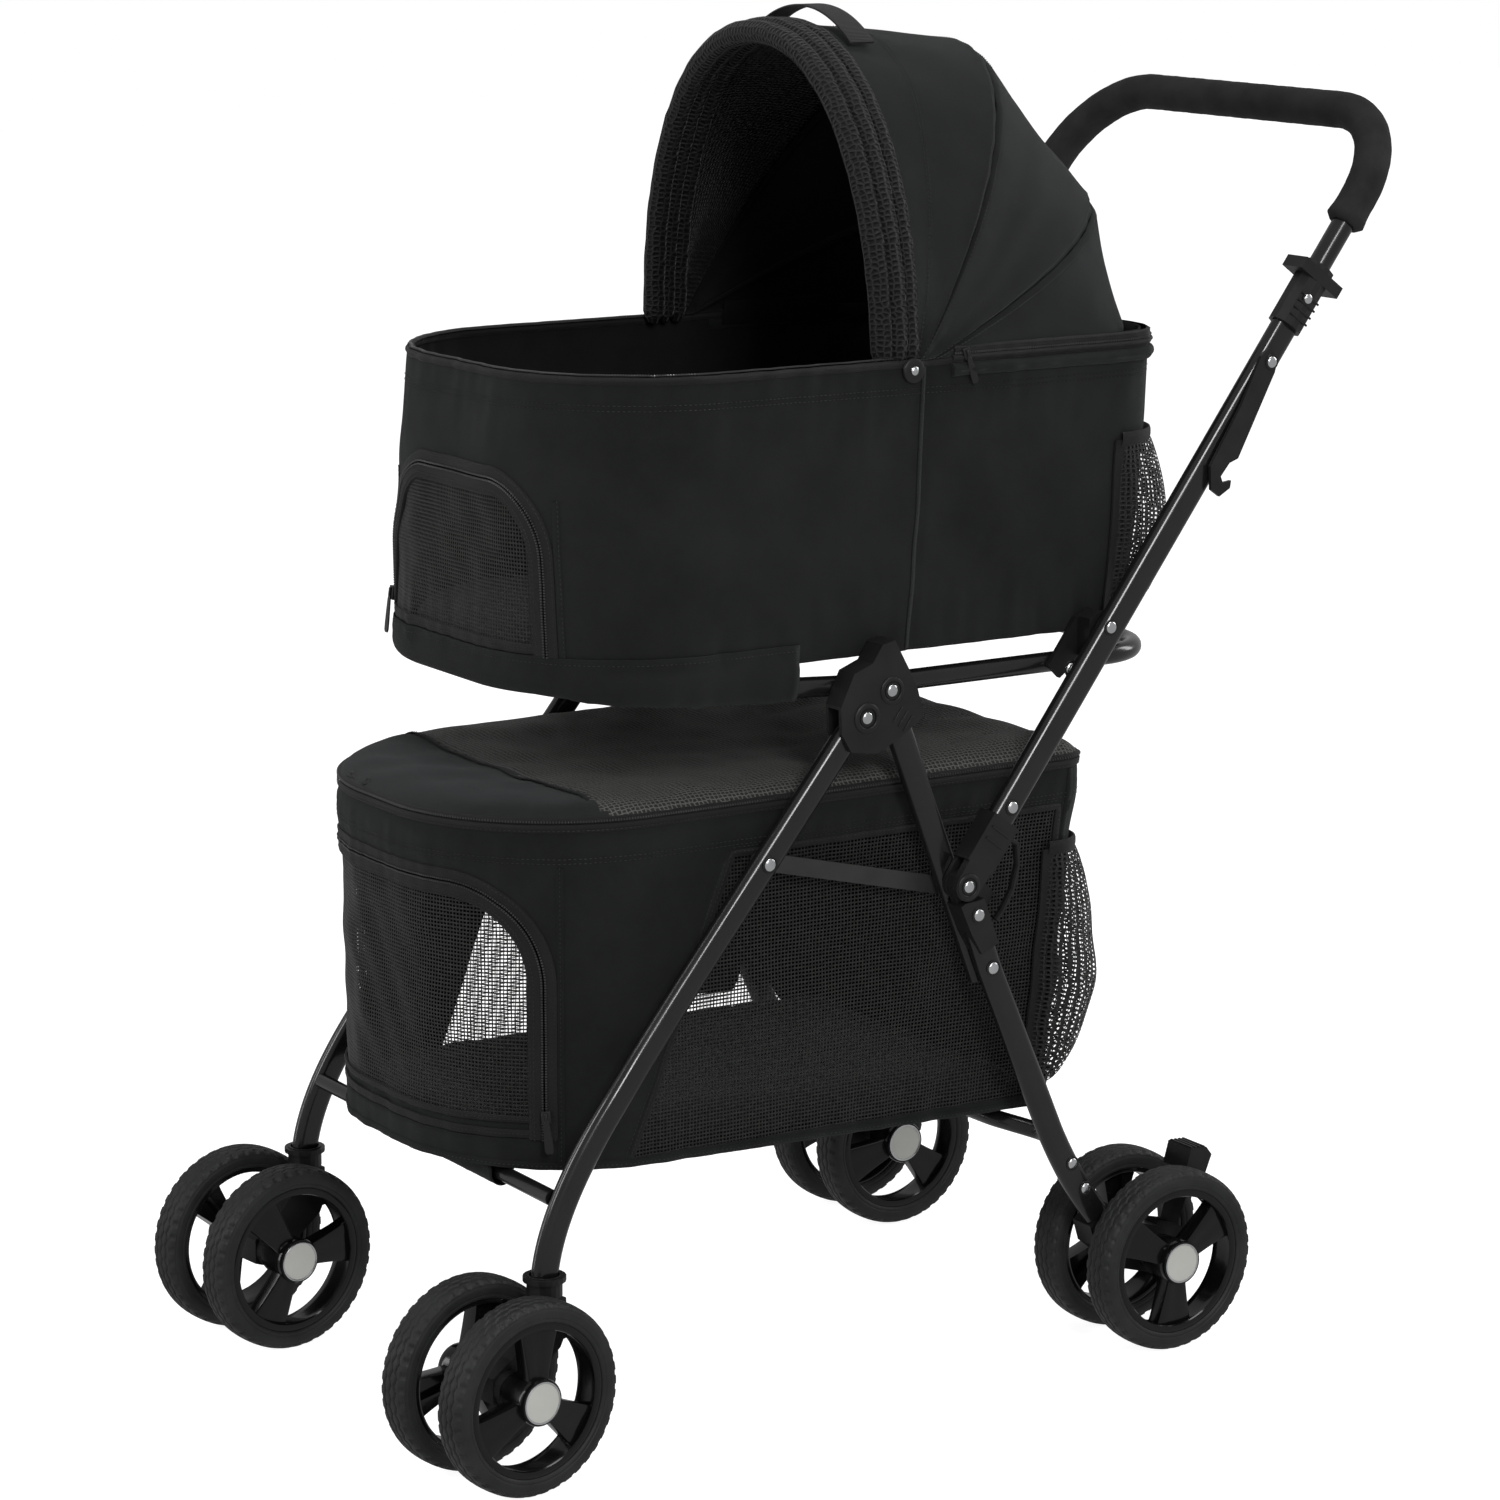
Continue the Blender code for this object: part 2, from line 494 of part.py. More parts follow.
# hook lever on the right handle tube: a long plate with a hook below
e_h = axis_empty("axis_hook", (XO, *J), AX_FOLD)
hk = [(0.6510, 0.7990), (0.6590, 0.8050), (0.6680, 0.7960), (0.6650, 0.7850), (0.6300, 0.7190), (0.6215, 0.7160), (0.6130, 0.7060),
      (0.6150, 0.7010), (0.6235, 0.7020), (0.6225, 0.6960), (0.6120, 0.6900), (0.6035, 0.6960), (0.6025, 0.7150), (0.6320, 0.7610)]
hook = prism("hook_lever_r", [(y - 0.0030, z + 0.0020) for y, z in hk], 0.2128, 0.2158, M_PLAS)
add(hook, xcyl("hp", (J[0], J[1]), 0.0030, 0.2110, 0.2165, 10))
put(hook, e_h)

# ------------------------------------------------------------- carrier ring
RX, RY0, RY1, RR = 0.1675, 0.0750, 0.5900, 0.0550


def zr(y):
    return A[1] + max(0.0, A[0] - y) * 0.0662


def rounded(hx, y0, y1, rf, rr, seg):
    """Plan outline of a rounded rectangle, from the rear middle by the right side."""
    pts = [(0.0, y1)]
    for cx, cy, r, a0 in ((hx - rr, y1 - rr, rr, pi / 2), (hx - rf, y0 + rf, rf, 0.0)):
        for k in range(seg + 1):
            a = a0 - (pi / 2) * k / seg
            pts.append((cx + r * cos(a), cy + r * sin(a)))
    pts.append((0.0, y0))
    return pts + [(-x, y) for x, y in reversed(pts[1:-1])]


loop = rounded(RX, RY0, RY1, RR, RR, 4)
# extra points where the ring bends at the pivot
ring_path = []
for i, (x, y) in enumerate(loop):
    ring_path.append(Vector((x, y, zr(y))))
    x2, y2 = loop[(i + 1) % len(loop)]
    if abs(x - x2) < 1e-6 and (y - A[0]) * (y2 - A[0]) < 0:
        ring_path.append(Vector((x, A[0], A[1])))
rings = []
m = len(ring_path)
for i, p in enumerate(ring_path):
    t = (ring_path[(i + 1) % m] - ring_path[i - 1]).normalized()
    zz = (Vector((0, 0, 1)) - t * t.z).normalized()
    s = t.cross(zz)
    rings.append([p + zz * 0.0080 * cos(2 * pi * k / 12) + s * 0.0080 * sin(2 * pi * k / 12) for k in range(12)])
ring = loft("carrier_ring", rings, M_TUBE, cyclic=True)
for sx in (1, -1):
    cut(ring, cyl("c", (sx * 0.1700, *A), (1, 0, 0), 0.0043, 0.0120, 12))
put(ring, AX_RING)


# ------------------------------------------------------------- soft carriers
def plan_point(u, prm, off=0.0):
    """Point at arc length u from the front middle (right is +), pushed out by off."""
    hx, y0, y1, rf, rr = prm
    s = 1 if u >= 0 else -1
    u = abs(u)
    l1, l2 = hx - rf, pi / 2 * rf
    l3, l4 = (y1 - y0) - rf - rr, pi / 2 * rr
    if u <= l1:
        return (s * u, y0 - off)
    u -= l1
    if u <= l2:
        a = -pi / 2 + u / rf
        return (s * (hx - rf + (rf + off) * cos(a)), y0 + rf + (rf + off) * sin(a))
    u -= l2
    if u <= l3:
        return (s * (hx + off), y0 + rf + u)
    u -= l3
    if u <= l4:
        a = u / rr
        return (s * (hx - rr + (rr + off) * cos(a)), y1 - rr + (rr + off) * sin(a))
    u -= l4
    return (s * (hx - rr - u), y1 + off)


def plan_stations(prm, seg=8):
    hx, y0, y1, rf, rr = prm
    l1, l2 = hx - rf, pi / 2 * rf
    l3, l4 = (y1 - y0) - rf - rr, pi / 2 * rr
    us = [0.0, l1] + [l1 + l2 * k / seg for k in range(1, seg + 1)] + [l1 + l2 + l3 / 2, l1 + l2 + l3] + \
         [l1 + l2 + l3 + l4 * k / seg for k in range(1, seg + 1)]
    total = l1 + l2 + l3 + l4 + (hx - rr)
    return us + [total] + [-u for u in reversed(us[1:])]


def upright(z, y=0.0):
    return 0.0


def leaning(z, y=0.0):
    """The upper walls lean back towards the rim."""
    return 0.0140 * (z - 0.5888) / 0.2232


def flaring(z, y=0.0):
    """The lower walls lean out towards their rear top edge."""
    return 0.0300 * min(1.0, max(0.0, (z - 0.200) / 0.286)) * min(1.0, max(0.0, (y - 0.200) / 0.290))


def shell(name, prm, zb, zt, wall, floor, mat, lean=upright):
    """Open-topped soft box: walls, floor, rim."""
    us = plan_stations(prm)
    def lp(off, zf):
        out = []
        for u in us:
            x, y = plan_point(u, prm, off)
            out.append(Vector((x, y + lean(zf(y), y), zf(y))))
        return out
    rings = [lp(0, zb), lp(0, zt), lp(-wall, zt), lp(-wall, lambda y: zb(y) + floor)]
    return loft(name, rings, mat)


def wall_patch(name, prm, u0, u1, z0, z1, o0, o1, arch, seg=10, mat=None, lean=upright):
    """Panel of the wall between arc lengths, its top corners rounded by `arch`."""
    rings = []
    for k in range(seg + 1):
        u = u0 + (u1 - u0) * k / seg
        d = min(u - u0, u1 - u)
        top = z1
        if d < arch:
            top = z1 - arch + (max(0.0, arch * arch - (arch - d) ** 2)) ** 0.5
        xo, yo = plan_point(u, prm, o1)
        xi, yi = plan_point(u, prm, o0)
        a, b = lean(z0), lean(top)
        rings.append([Vector((xo, yo + a, z0)), Vector((xo, yo + b, top)), Vector((xi, yi + b, top)), Vector((xi, yi + a, z0))])
    return loft(name, rings, mat)


UP = (0.1740, 0.0280, 0.5740, 0.1300, 0.0500)
LO = (0.1660, -0.0300, 0.4900, 0.1400, 0.0220)
UT, LT = 0.8120, 0.4860
ub = lambda y: 0.5888
lb = lambda y: 0.2146 - 0.030 * y

u_sh = shell("upper_carrier_shell", UP, ub, lambda y: UT, 0.0030, 0.0030, M_FAB, leaning)
DU = (-0.1220, 0.1220, 0.6040, 0.7330)
cut(u_sh, wall_patch("c", UP, DU[0] - 0.0015, DU[1] + 0.0015, DU[2] - 0.0006, DU[3] + 0.0015, -0.02, 0.02, 0.055, 14, lean=leaning))
put(u_sh, AX_RING)
u_dr = wall_patch("upper_front_door", UP, *DU, -0.0026, -0.0004, 0.055, 14, M_MESH, leaning)
ax_ud = axis_empty("axis_upper_door", (0, UP[1] + 0.0001, DU[2] - 0.0004), AX_RING)
put(u_dr, ax_ud)

l_sh = shell("lower_carrier_shell", LO, lb, lambda y: LT, 0.0030, 0.0030, M_FAB, flaring)
DL = (-0.1680, 0.1710, 0.2380, 0.4370)
cut(l_sh, wall_patch("c", LO, DL[0] - 0.0020, DL[1] + 0.0020, DL[2] - 0.0006, DL[3] + 0.0020, -0.02, 0.02, 0.066, 20))
put(l_sh)
l_dr = wall_patch("lower_front_door", LO, *DL, -0.0026, -0.0004, 0.066, 20, M_MESH)
ax_ld = axis_empty("axis_lower_door", (0, LO[1] - 0.0008, DL[2] - 0.0004))
put(l_dr, ax_ld)

# zipped lid of the lower carrier, slightly domed
us = plan_stations(LO)
def lid_loop(off, z):
    flat = [plan_point(u, LO, off) for u in us]
    return [Vector((x, y + flaring(z, y), z)) for x, y in flat]
lid = loft("lower_carrier_lid", [lid_loop(0, LT + GAP), lid_loop(0.0015, LT + 0.0045), lid_loop(-0.006, LT + 0.0090), lid_loop(-0.019, LT + 0.0120)], M_MESH)
put(lid)


def pad(name, prm, zb, inset, thick, mat):
    us = plan_stations(prm, 3)
    def lp(off, dz):
        out = []
        for u in us:
            x, y = plan_point(u, prm, off)
            out.append(Vector((x, y, zb(y) + dz)))
        return out
    return loft(name, [lp(-inset - 0.004, 0), lp(-inset, 0.006), lp(-inset, thick - 0.008), lp(-inset - 0.008, thick)], mat)


put(pad("upper_cushion", UP, lambda y: ub(y) + 0.0034, 0.0060, 0.0240, M_PAD), AX_RING)
put(pad("lower_cushion", LO, lambda y: lb(y) + 0.0034, 0.0060, 0.0220, M_PAD))


# ------------------------------------------------------------- canopy
BOWS = [(-10, 0.1735, 0.2550, 2.15), (0, 0.1735, 0.2550, 2.15), (32, 0.1765, 0.2800, 2.15), (66, 0.1765, 0.2840, 2.2), (88, 0.1740, 0.2470, 5.0)]


def bow(deg):
    """Half width, radius and roundness of the canopy at an angle behind the vertical."""
    for a, b in zip(BOWS, BOWS[1:]):
        if deg <= b[0]:
            k = (deg - a[0]) / (b[0] - a[0])
            return [a[i] + (b[i] - a[i]) * k for i in (1, 2, 3)]
    return BOWS[-1][1:]


def arch_pts(deg, off, n=14):
    w, rad, nn = bow(deg)
    th = radians(deg)
    out = []
    for i in range(n + 1):
        t = pi * i / n
        cx, sx = cos(t), sin(t)
        x = (w + off) * (1 if cx >= 0 else -1) * abs(cx) ** (2 / nn)
        r = max((rad + off) * abs(sx) ** (2 / nn), 0.004)
        z = max(CAN[1] + r * cos(th), UT + 0.0006 + 0.02 * r * max(0.0, cos(th)))
        out.append(Vector((x, CAN[0] + r * sin(th), z)))
    return out


def gore(name, d0, d1, o0, o1, seg, mat, straight=False):
    rings = []
    for k in range(seg + 1):
        d = d0 + (d1 - d0) * k / seg
        if straight:
            f = k / seg
            mix = lambda o: [a.lerp(b, f) for a, b in zip(arch_pts(d0, o), arch_pts(d1, o))]
            outer, inner = mix(o1), mix(o0)
        else:
            outer, inner = arch_pts(d, o1), arch_pts(d, o0)
        rings.append(outer + list(reversed(inner)))
    return loft(name, rings, mat)


put(gore("canopy_front", -8.0, 31.8, -0.0030, 0.0, 5, M_FAB), AX_CANOPY)
put(gore("canopy_middle", 32.2, 65.8, -0.0030, 0.0, 3, M_FAB, True), AX_CANOPY)
put(gore("canopy_rear", 66.2, 87.6, -0.0030, 0.0, 2, M_FAB, True), AX_RING)

bpy.context.view_layer.update()
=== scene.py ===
# Looks of the double-deck pet stroller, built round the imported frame.
import bpy
import bmesh
import numpy as np
from math import pi, sin, cos, radians, degrees, atan2, sqrt
from mathutils import Vector, Matrix


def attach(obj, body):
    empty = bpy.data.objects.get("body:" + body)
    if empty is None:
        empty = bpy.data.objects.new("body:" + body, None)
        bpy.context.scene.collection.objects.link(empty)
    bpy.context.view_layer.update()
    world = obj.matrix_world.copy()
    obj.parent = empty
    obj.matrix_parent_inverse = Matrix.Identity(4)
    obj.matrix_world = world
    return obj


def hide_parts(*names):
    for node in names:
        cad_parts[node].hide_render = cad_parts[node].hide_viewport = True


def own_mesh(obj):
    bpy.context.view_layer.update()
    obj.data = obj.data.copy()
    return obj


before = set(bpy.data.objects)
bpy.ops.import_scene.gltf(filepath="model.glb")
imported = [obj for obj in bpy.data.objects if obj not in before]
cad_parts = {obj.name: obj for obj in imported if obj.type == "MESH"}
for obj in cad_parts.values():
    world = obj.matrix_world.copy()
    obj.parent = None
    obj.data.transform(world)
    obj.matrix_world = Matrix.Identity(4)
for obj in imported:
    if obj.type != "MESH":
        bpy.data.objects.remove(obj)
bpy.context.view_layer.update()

OX, OY = -0.0035, -0.3462
OFF = np.array([OX, OY, 0.0])
COL = bpy.context.scene.collection

# sizes, as in the frame
WHEEL_R, WHEEL_OFF = 0.075, 0.0355
CASTER_X, TRAIL, TURN = 0.194, 0.043, radians(6.9)
REAR_X, REAR_Y = 0.196, 0.5625
XI, XO, TW, TH = 0.18675, 0.20375, 0.0135, 0.022
A, B, C = (0.309, 0.5645), (0.286, 0.5455), (0.2005, 0.4405)
E, F, G = (0.372, 0.405), (0.382, 0.381), (0.3985, 0.3355)
P_ = (0.401, 0.392)
EAR, H, J = (0.480, 0.5635), (0.508, 0.596), (0.6585, 0.7955)
HD = (0.5945, 0.8041)
CAN = (0.345, 0.807)
BAR, RB = 0.7188, 0.080
UP = (0.1740, 0.0280, 0.5740, 0.1300, 0.0500)
LO = (0.1660, -0.0300, 0.4900, 0.1400, 0.0220)
UT, LT, UB = 0.8120, 0.4860, 0.5888
DU = (-0.1220, 0.1220, 0.6040, 0.7330, 0.055)
DL = (-0.1680, 0.1630, 0.2380, 0.4350, 0.078)
CR = 0.2700
BOWS = np.array([(-12, 0.1735, 0.2550, 2.15), (0, 0.1735, 0.2550, 2.15), (32, 0.1765, 0.2800, 2.15), (66, 0.1765, 0.2840, 2.2), (88, 0.1740, 0.2470, 5.0), (100, 0.1740, 0.2470, 5.0)])


def lb(y):
    return 0.2146 - 0.030 * y


def zr(y):
    return A[1] + np.maximum(0.0, A[0] - y) * 0.0662


def on_handle(s, off=0.0):
    return (E[0] + HD[0] * s - HD[1] * off, E[1] + HD[1] * s + HD[0] * off)


# ================================================================ materials
def nodes_of(m):
    m.use_nodes = True
    nt = m.node_tree
    return nt, nt.nodes["Principled BSDF"]


def link(nt, a, b):
    nt.links.new(a, b)


def node(nt, kind, **kw):
    n = nt.nodes.new(kind)
    for k, v in kw.items():
        if k.startswith("i_"):
            key = k[2:]
            key = int(key) if key.isdigit() else key.replace("_", " ")
            n.inputs[key].default_value = v
        else:
            setattr(n, k, v)
    return n


def math_n(nt, op, a, b=None, c=None, clamp=False):
    n = nt.nodes.new("ShaderNodeMath")
    n.operation = op
    n.use_clamp = clamp
    for i, v in enumerate((a, b, c)):
        if v is None:
            continue
        if isinstance(v, (int, float)):
            n.inputs[i].default_value = v
        else:
            link(nt, v, n.inputs[i])
    return n.outputs[0]


def ramp(nt, fac, stops, interp="LINEAR"):
    n = nt.nodes.new("ShaderNodeValToRGB")
    n.color_ramp.interpolation = interp
    el = n.color_ramp.elements
    while len(el) < len(stops):
        el.new(0.5)
    for e, (p, c) in zip(el, stops):
        e.position = p
        e.color = (*c, 1.0) if len(c) == 3 else c
    link(nt, fac, n.inputs[0])
    return n.outputs[0]


def noise_tex(nt, vec, scale, detail=3.0, rough=0.55):
    n = node(nt, "ShaderNodeTexNoise")
    n.inputs["Scale"].default_value = scale
    n.inputs["Detail"].default_value = detail
    n.inputs["Roughness"].default_value = rough
    link(nt, vec, n.inputs["Vector"])
    return n.outputs["Fac"]


def bump(nt, height, dist, strength=1.0, normal=None):
    n = node(nt, "ShaderNodeBump")
    n.inputs["Distance"].default_value = dist
    n.inputs["Strength"].default_value = strength
    link(nt, height, n.inputs["Height"])
    if normal is not None:
        link(nt, normal, n.inputs["Normal"])
    return n.outputs["Normal"]


def obj_coord(nt):
    return node(nt, "ShaderNodeTexCoord").outputs["Object"]


def wuv(nt):
    a = node(nt, "ShaderNodeAttribute")
    a.attribute_name = "wuv"
    a.attribute_type = "GEOMETRY"
    return a.outputs["Vector"]


def sep(nt, vec):
    s = node(nt, "ShaderNodeSeparateXYZ")
    link(nt, vec, s.inputs[0])
    return s.outputs


def hard(name, rgb, rough, metal=0.0, spec=0.5, coat=0.0, coat_rough=0.1, grain=900.0, grain_d=0.00006,
         vary=0.25, rvar=0.12, edge=0.0):
    """Painted, moulded or plated surface: fine grain, slight colour and gloss variation."""
    m = bpy.data.materials.new(name)
    nt, b = nodes_of(m)
    oc = obj_coord(nt)
    n1 = noise_tex(nt, oc, 38.0, 4.0, 0.6)
    c0 = tuple(v * (1 - vary) for v in rgb)
    c1 = tuple(v * (1 + vary) for v in rgb)
    link(nt, ramp(nt, n1, [(0.3, c0), (0.7, c1)]), b.inputs["Base Color"])
    n2 = noise_tex(nt, oc, 14.0, 3.0, 0.6)
    r0, r1 = max(0.03, rough - rvar), min(1.0, rough + rvar)
    mr = node(nt, "ShaderNodeMapRange")
    mr.inputs["To Min"].default_value = r0
    mr.inputs["To Max"].default_value = r1
    mr.inputs["From Min"].default_value = 0.3
    mr.inputs["From Max"].default_value = 0.7
    link(nt, n2, mr.inputs["Value"])
    link(nt, mr.outputs[0], b.inputs["Roughness"])
    b.inputs["Metallic"].default_value = metal
    b.inputs["Specular IOR Level"].default_value = spec
    if coat:
        b.inputs["Coat Weight"].default_value = coat
        b.inputs["Coat Roughness"].default_value = coat_rough
    g = noise_tex(nt, oc, grain, 2.0, 0.5)
    link(nt, bump(nt, g, grain_d, 1.0), b.inputs["Normal"])
    return m


def woven(name, rgb, pitch=0.0007, sheen=0.35, rough=0.85, depth=0.00022, wrinkle=0.0011, wscale=16.0, vary=0.35, spec=0.3):
    """Plain-weave polyester: crossing threads from the cloth's own coordinates, soft creases, uneven dye."""
    m = bpy.data.materials.new(name)
    nt, b = nodes_of(m)
    uv = wuv(nt)
    s = sep(nt, uv)
    k = pi / pitch
    sx = math_n(nt, "SINE", math_n(nt, "MULTIPLY", s[0], k))
    sy = math_n(nt, "SINE", math_n(nt, "MULTIPLY", s[1], k))
    w = math_n(nt, "MULTIPLY", sx, sy)
    sq = math_n(nt, "ABSOLUTE", w)
    slub = noise_tex(nt, uv, 700.0, 2.0, 0.6)
    h1 = math_n(nt, "ADD", math_n(nt, "MULTIPLY", sq, 0.7), math_n(nt, "MULTIPLY", slub, 0.6))
    oc = obj_coord(nt)
    dye = noise_tex(nt, oc, 9.0, 5.0, 0.62)
    speck = noise_tex(nt, uv, 1500.0, 1.0, 0.5)
    mixv = math_n(nt, "ADD", math_n(nt, "MULTIPLY", dye, 0.6), math_n(nt, "MULTIPLY", speck, 0.4))
    c0 = tuple(v * (1 - vary) for v in rgb)
    c1 = tuple(v * (1 + vary) for v in rgb)
    link(nt, ramp(nt, mixv, [(0.36, c0), (0.64, c1)]), b.inputs["Base Color"])
    b.inputs["Roughness"].default_value = rough
    b.inputs["Specular IOR Level"].default_value = spec
    b.inputs["Sheen Weight"].default_value = sheen
    b.inputs["Sheen Roughness"].default_value = 0.45
    b.inputs["Sheen Tint"].default_value = (0.75, 0.78, 0.80, 1)
    big = noise_tex(nt, oc, wscale, 4.0, 0.55)
    nb = bump(nt, big, wrinkle, 1.0)
    link(nt, bump(nt, h1, depth, 1.0, nb), b.inputs["Normal"])
    return m


def open_mesh(name, rgb, pitch=0.0027, th=0.56, tv=0.46, depth=0.0004):
    """See-through knitted mesh: square holes between thick weft and thin warp threads."""
    m = bpy.data.materials.new(name)
    nt, b = nodes_of(m)
    s = sep(nt, wuv(nt))
    fu = math_n(nt, "PINGPONG", math_n(nt, "DIVIDE", s[0], pitch), 0.5)
    fv = math_n(nt, "PINGPONG", math_n(nt, "DIVIDE", s[1], pitch), 0.5)
    # round threads close up when the cloth turns away
    lw = node(nt, "ShaderNodeLayerWeight")
    lw.inputs["Blend"].default_value = 0.5
    cosv = math_n(nt, "MAXIMUM", math_n(nt, "SUBTRACT", 1.0, lw.outputs["Facing"]), 0.10)
    a_h = math_n(nt, "LESS_THAN", fv, th * 0.5)
    a_v = math_n(nt, "LESS_THAN", fu, math_n(nt, "DIVIDE", tv * 0.5 * 0.92, cosv))
    alpha = math_n(nt, "MAXIMUM", a_h, a_v)
    link(nt, alpha, b.inputs["Alpha"])
    h = math_n(nt, "MAXIMUM", math_n(nt, "SUBTRACT", 1.0, math_n(nt, "MULTIPLY", fv, 2.0 / th)),
               math_n(nt, "SUBTRACT", 0.9, math_n(nt, "MULTIPLY", fu, 2.0 / tv)))
    n1 = noise_tex(nt, wuv(nt), 260.0, 2.0, 0.5)
    link(nt, ramp(nt, n1, [(0.35, tuple(v * 0.6 for v in rgb)), (0.65, tuple(v * 1.5 for v in rgb))]), b.inputs["Base Color"])
    b.inputs["Roughness"].default_value = 0.6
    b.inputs["Specular IOR Level"].default_value = 0.18
    b.inputs["Sheen Weight"].default_value = 0.04
    link(nt, bump(nt, h, depth, 1.0), b.inputs["Normal"])
    return m


def net(name, rgb, cell=0.0042, wire=0.17):
    """Coarse pocket net: rounded cells in a loose honeycomb."""
    m = bpy.data.materials.new(name)
    nt, b = nodes_of(m)
    v = node(nt, "ShaderNodeTexVoronoi")
    v.feature = "DISTANCE_TO_EDGE"
    v.voronoi_dimensions = "2D"
    v.inputs["Scale"].default_value = 1.0 / cell
    v.inputs["Randomness"].default_value = 0.32
    link(nt, wuv(nt), v.inputs["Vector"])
    alpha = math_n(nt, "LESS_THAN", v.outputs["Distance"], wire)
    link(nt, alpha, b.inputs["Alpha"])
    h = math_n(nt, "SUBTRACT", 1.0, math_n(nt, "DIVIDE", v.outputs["Distance"], wire))
    n1 = noise_tex(nt, wuv(nt), 400.0, 2.0, 0.5)
    link(nt, ramp(nt, n1, [(0.35, tuple(v_ * 0.6 for v_ in rgb)), (0.65, tuple(v_ * 1.5 for v_ in rgb))]), b.inputs["Base Color"])
    b.inputs["Roughness"].default_value = 0.55
    b.inputs["Specular IOR Level"].default_value = 0.18
    b.inputs["Sheen Weight"].default_value = 0.04
    link(nt, bump(nt, h, 0.0006, 1.0), b.inputs["Normal"])
    return m


def spacer(name, rgb, cell=0.0036, depth=0.0012, deep=0.10, even=0.45):
    """Opaque 3-D spacer mesh: rows of small oval pits in a springy knit, the pits darkened as painted shade and the
    knit between them painted lighter.
    """
    m = bpy.data.materials.new(name)
    nt, b = nodes_of(m)
    uv = wuv(nt)
    s = sep(nt, uv)
    mp = node(nt, "ShaderNodeCombineXYZ")
    link(nt, s[0], mp.inputs[0])
    link(nt, math_n(nt, "MULTIPLY", s[1], 0.72), mp.inputs[1])
    v = node(nt, "ShaderNodeTexVoronoi")
    v.feature = "DISTANCE_TO_EDGE"
    v.voronoi_dimensions = "2D"
    v.inputs["Scale"].default_value = 1.0 / cell
    v.inputs["Randomness"].default_value = even
    link(nt, mp.outputs[0], v.inputs["Vector"])
    d = v.outputs["Distance"]
    # painted shade: the pit centres are darkened to deep times the colour as shade in the holes, the knit ridges
    # between them lightened to 2.2 times
    link(nt, ramp(nt, d, [(0.07, tuple(x * 2.2 for x in rgb)), (0.17, tuple(x * deep for x in rgb))]), b.inputs["Base Color"])
    h = math_n(nt, "SUBTRACT", 1.0, math_n(nt, "MULTIPLY", d, 2.6), clamp=True)
    fine = noise_tex(nt, uv, 1800.0, 2.0, 0.5)
    hh = math_n(nt, "ADD", h, math_n(nt, "MULTIPLY", fine, 0.12))
    b.inputs["Roughness"].default_value = 0.62
    b.inputs["Specular IOR Level"].default_value = 0.16
    b.inputs["Sheen Weight"].default_value = 0.05
    b.inputs["Sheen Roughness"].default_value = 0.4
    link(nt, bump(nt, hh, depth, 1.0), b.inputs["Normal"])
    return m


def ribbed(name, rgb, pitch=0.0016, rough=0.6, depth=0.0004, axis=0):
    """Woven tape or webbing: ribs across its length, the grooves between them darkened as painted shade."""
    m = bpy.data.materials.new(name)
    nt, b = nodes_of(m)
    uv = wuv(nt)
    s = sep(nt, uv)
    r = math_n(nt, "ABSOLUTE", math_n(nt, "SINE", math_n(nt, "MULTIPLY", s[axis], pi / pitch)))
    r2 = math_n(nt, "ABSOLUTE", math_n(nt, "SINE", math_n(nt, "MULTIPLY", s[1 - axis], pi / (pitch * 0.8))))
    f = noise_tex(nt, uv, 900.0, 2.0, 0.5)
    h = math_n(nt, "ADD", math_n(nt, "ADD", r, math_n(nt, "MULTIPLY", r2, 0.35)), math_n(nt, "MULTIPLY", f, 0.3))
    # painted shade: colour follows rib height, dark in the grooves and lighter on the rib tops
    link(nt, ramp(nt, h, [(0.2, tuple(v * 0.5 for v in rgb)), (1.0, tuple(v * 1.35 for v in rgb))]), b.inputs["Base Color"])
    b.inputs["Roughness"].default_value = rough
    b.inputs["Specular IOR Level"].default_value = 0.14
    b.inputs["Sheen Weight"].default_value = 0.04
    link(nt, bump(nt, h, depth, 1.0), b.inputs["Normal"])
    return m


M_TUBE = hard("m_powder_coat", (0.0050, 0.0050, 0.0051), 0.22, 0.0, 0.40, coat=0.22, coat_rough=0.08, grain=1400, grain_d=0.00001, vary=0.15, rvar=0.05)
M_LINK = hard("m_flat_bar", (0.0150, 0.0150, 0.0148), 0.36, 0.0, 0.34, coat=0.12, coat_rough=0.2, grain=1400, grain_d=0.00004, vary=0.2, rvar=0.06)
M_PLAS = hard("m_moulded", (0.0078, 0.0078, 0.0078), 0.38, 0.0, 0.24, grain=2200, grain_d=0.00007, vary=0.2, rvar=0.06)
M_GLOSS = hard("m_gloss_wheel", (0.0030, 0.0030, 0.0032), 0.17, 0.0, 0.22, coat=0.20, coat_rough=0.06, grain=300, grain_d=0.00003, vary=0.15, rvar=0.05)
M_TYRE = hard("m_tyre", (0.0105, 0.0107, 0.0108), 0.55, 0.0, 0.24, grain=1700, grain_d=0.00010, vary=0.3, rvar=0.10)
M_FOAM = hard("m_foam", (0.0112, 0.0112, 0.0112), 0.80, 0.0, 0.12, grain=1500, grain_d=0.00028, vary=0.3, rvar=0.06)
M_STEEL = hard("m_zinc", (0.62, 0.63, 0.64), 0.22, 1.0, 0.5, grain=500, grain_d=0.00004, vary=0.12, rvar=0.07)
M_CAP = hard("m_hub_cap", (0.31, 0.31, 0.29), 0.38, 0.0, 0.5, grain=1500, grain_d=0.00003, vary=0.04, rvar=0.05)
